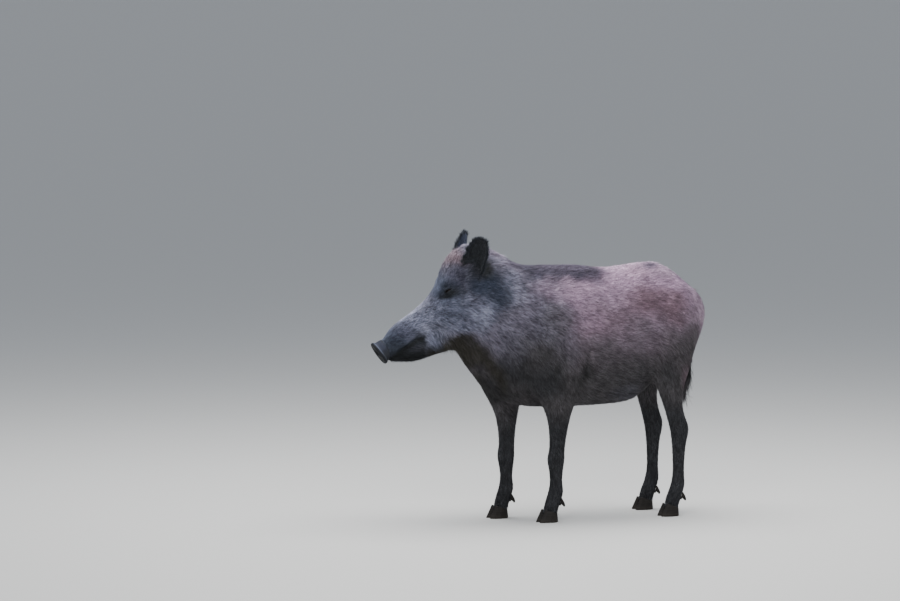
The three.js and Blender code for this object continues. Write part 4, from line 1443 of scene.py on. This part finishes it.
# Dark in front and round the rim, partly painted shade; a pale line where the rim turns back, a painted
# highlight;
# and a collar, partly its own bluish skin and partly a painted sky reflection, that darkens downwards as
# painted shade.
def snoutColoursAndPaintedLight(radius, height, depth):
    behind = blend01(-depth, -7.4, -5.8) * (radius > 0.8)
    edge = blend01(-depth, -6.4, -5.4) * blend01(depth, 3.0, 4.4) * (radius > 0.8)
    lower = blend01(-height, -0.45, 0.3)
    tones = {name: np.array(tone) for name, tone in snout["tones"].items()}
    collar = tones["collar"] * (1 - lower[:, None]) + tones["front"] * 1.6 * lower[:, None]
    colour = tones["front"] * (1 - behind[:, None]) + collar * behind[:, None]
    return colour + tones["edge"] * (edge * (1 - 0.75 * lower))[:, None]


def buildSnout():
    mesh = turnedSnout()
    points = arrayOf(mesh.vertices, "co")
    radius = np.hypot(points[:, 0], points[:, 1])
    depth = points[:, 2] / mm
    x, y = points[:, 0] * snout["half"][0], points[:, 1] * snout["half"][1]
    x = x * (1 - snout["taper"] * points[:, 1])
    rim = points[:, :2] / np.maximum(radius, 1e-3)[:, None]
    ruffle = lumps(rim @ np.eye(2, 3), 0.12, 9) - 0.5
    swell = 1 + 0.03 * ruffle * blend01(radius, 0.8, 1.0)
    x, y = x * swell, y * swell
    front = blend01(depth, 4, 9) * (radius < 0.97)
    groove = 1.4 * bell(x, 3.5) * blend01(-np.abs(y), -32, -4)
    lower = 1.0 * bell(y + 20, 3) * bell(x, 18)
    z = depth - front * (nostrils(x, y) + groove + lower)
    pitch = snout["pitch"]
    outward = np.array([-math.cos(pitch), 0, -math.sin(pitch)])
    upward = np.array([-math.sin(pitch), 0, math.cos(pitch)])
    local = x[:, None] * np.array([0, 1.0, 0]) + y[:, None] * upward + z[:, None] * outward
    putPoints(mesh, turned((np.array(snout["centre"]) + local) * mm))
    putColour(mesh, snoutColoursAndPaintedLight(radius, points[:, 1], depth))
    work = bmesh.new()
    work.from_mesh(mesh)
    bmesh.ops.recalc_face_normals(work, faces=work.faces)
    work.to_mesh(mesh)
    work.free()
    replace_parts(addPiece("snout", mesh, snoutFinish()), "snout_disc")


buildSnout()
print("snout")


# Hooves.

hornSizes = {"voxel": 1.6 * mm, "smoothing": 3, "sole": 1.2 * mm}  # sole: what lies lower is made flat


def hornFinish():
    finish = Finish("hoof_horn", Specular_IOR_Level=0.1)
    place = finish.place()
    z = finish.add("ShaderNodeSeparateXYZ", None, place, take=2)
    wave = finish.noise(place, 40.0, 2.0)
    level = z * 900.0 + wave * 5.0
    rings = level.maths("SINE", level)
    grime = finish.smooth(z, 0.016, 0.0)
    colour = finish.mix(finish.noise(place, 120.0), (0.008, 0.007, 0.007), (0.020, 0.018, 0.016))
    colour = finish.mix(grime * 0.3, colour, (0.040, 0.034, 0.028))
    normal = finish.bump(rings, 0.0004, 0.5)
    return finish.out(Base_Color=colour, Roughness=0.52 + 0.2 * wave, Normal=normal)


hornMaterial = hornFinish()


def buildHorn(node):
    work = remeshed(meshFrom(nodeCopy(node), "horn"), hornSizes["voxel"])
    smoothed(work, work.verts, hornSizes["smoothing"])
    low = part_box(node)[0].z
    for v in work.verts:
        if v.co.z < low + hornSizes["sole"]:
            v.co.z = low
    name = node + "_horn"
    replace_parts(addPiece(name, meshFrom(work, name), hornMaterial), node)


for node in sorted(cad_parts):
    if node.startswith(("hoof", "dewclaw")):
        buildHorn(node)
print("hooves")


# Floor, light and camera.

view = {
    "azimuth": math.radians(-25),
    "elevation": math.radians(5.5),
    "distance": 14.25,
    "lens": 200,
    "height": 0.45,  # of the boar's middle
    "aim": (0.262, 0.175),  # how far that middle is right of and below the picture's middle, in metres
}
sky = {"colour": (0.84, 0.90, 1.0, 1), "strength": 0.72}
# Each light: its width and depth, power, place and colour. All point at the boar.
lights = {
    "top": ((3.4, 2.4), 260, (0.2, 0.2, 3.2), (1.0, 0.99, 0.98)),
    "left": ((2.5, 2.0), 130, (-1.6, -3.2, 2.4), (1.0, 0.98, 0.96)),
}


def buildStage():
    work = bmesh.new()
    bmesh.ops.create_grid(work, x_segments=1, y_segments=1, size=120)
    mesh = meshFrom(work, "floor")
    mesh.materials.append(Finish("pale_floor", Roughness=0.9, Base_Color=(0.42, 0.42, 0.41, 1)).material)
    newObject("floor", mesh)
    world = bpy.data.worlds.new("studio")
    world.use_nodes = True
    background = world.node_tree.nodes["Background"]
    background.inputs["Color"].default_value = sky["colour"]
    background.inputs["Strength"].default_value = sky["strength"]
    bpy.context.scene.world = world


def aimAt(obj, place, target):
    obj.location = place
    obj.rotation_euler = (Vector(target) - Vector(place)).to_track_quat("-Z", "Y").to_euler()


def addLight(name, size, power, place, colour):
    data = bpy.data.lights.new(name, "AREA")
    data.shape = "RECTANGLE"
    data.size, data.size_y = size
    data.energy = power
    data.color = colour
    aimAt(newObject(name, data), place, (0, 0, 0.5))


def addCamera():
    azimuth, elevation = view["azimuth"], view["elevation"]
    level = math.cos(elevation)
    back = Vector((math.sin(azimuth) * level, -math.cos(azimuth) * level, math.sin(elevation)))
    right = Vector((math.cos(azimuth), math.sin(azimuth), 0))
    up = back.cross(right)
    middle = Vector((0, 0, view["height"]))
    data = bpy.data.cameras.new("camera")
    data.lens = view["lens"]
    data.sensor_width = 36
    data.clip_end = 400
    camera = newObject("camera", data)
    aimAt(camera, middle + back * view["distance"], middle - right * view["aim"][0] + up * view["aim"][1])
    bpy.context.scene.camera = camera


buildStage()
for name, row in lights.items():
    addLight(name, *row)
addCamera()
print("floor, light and camera")
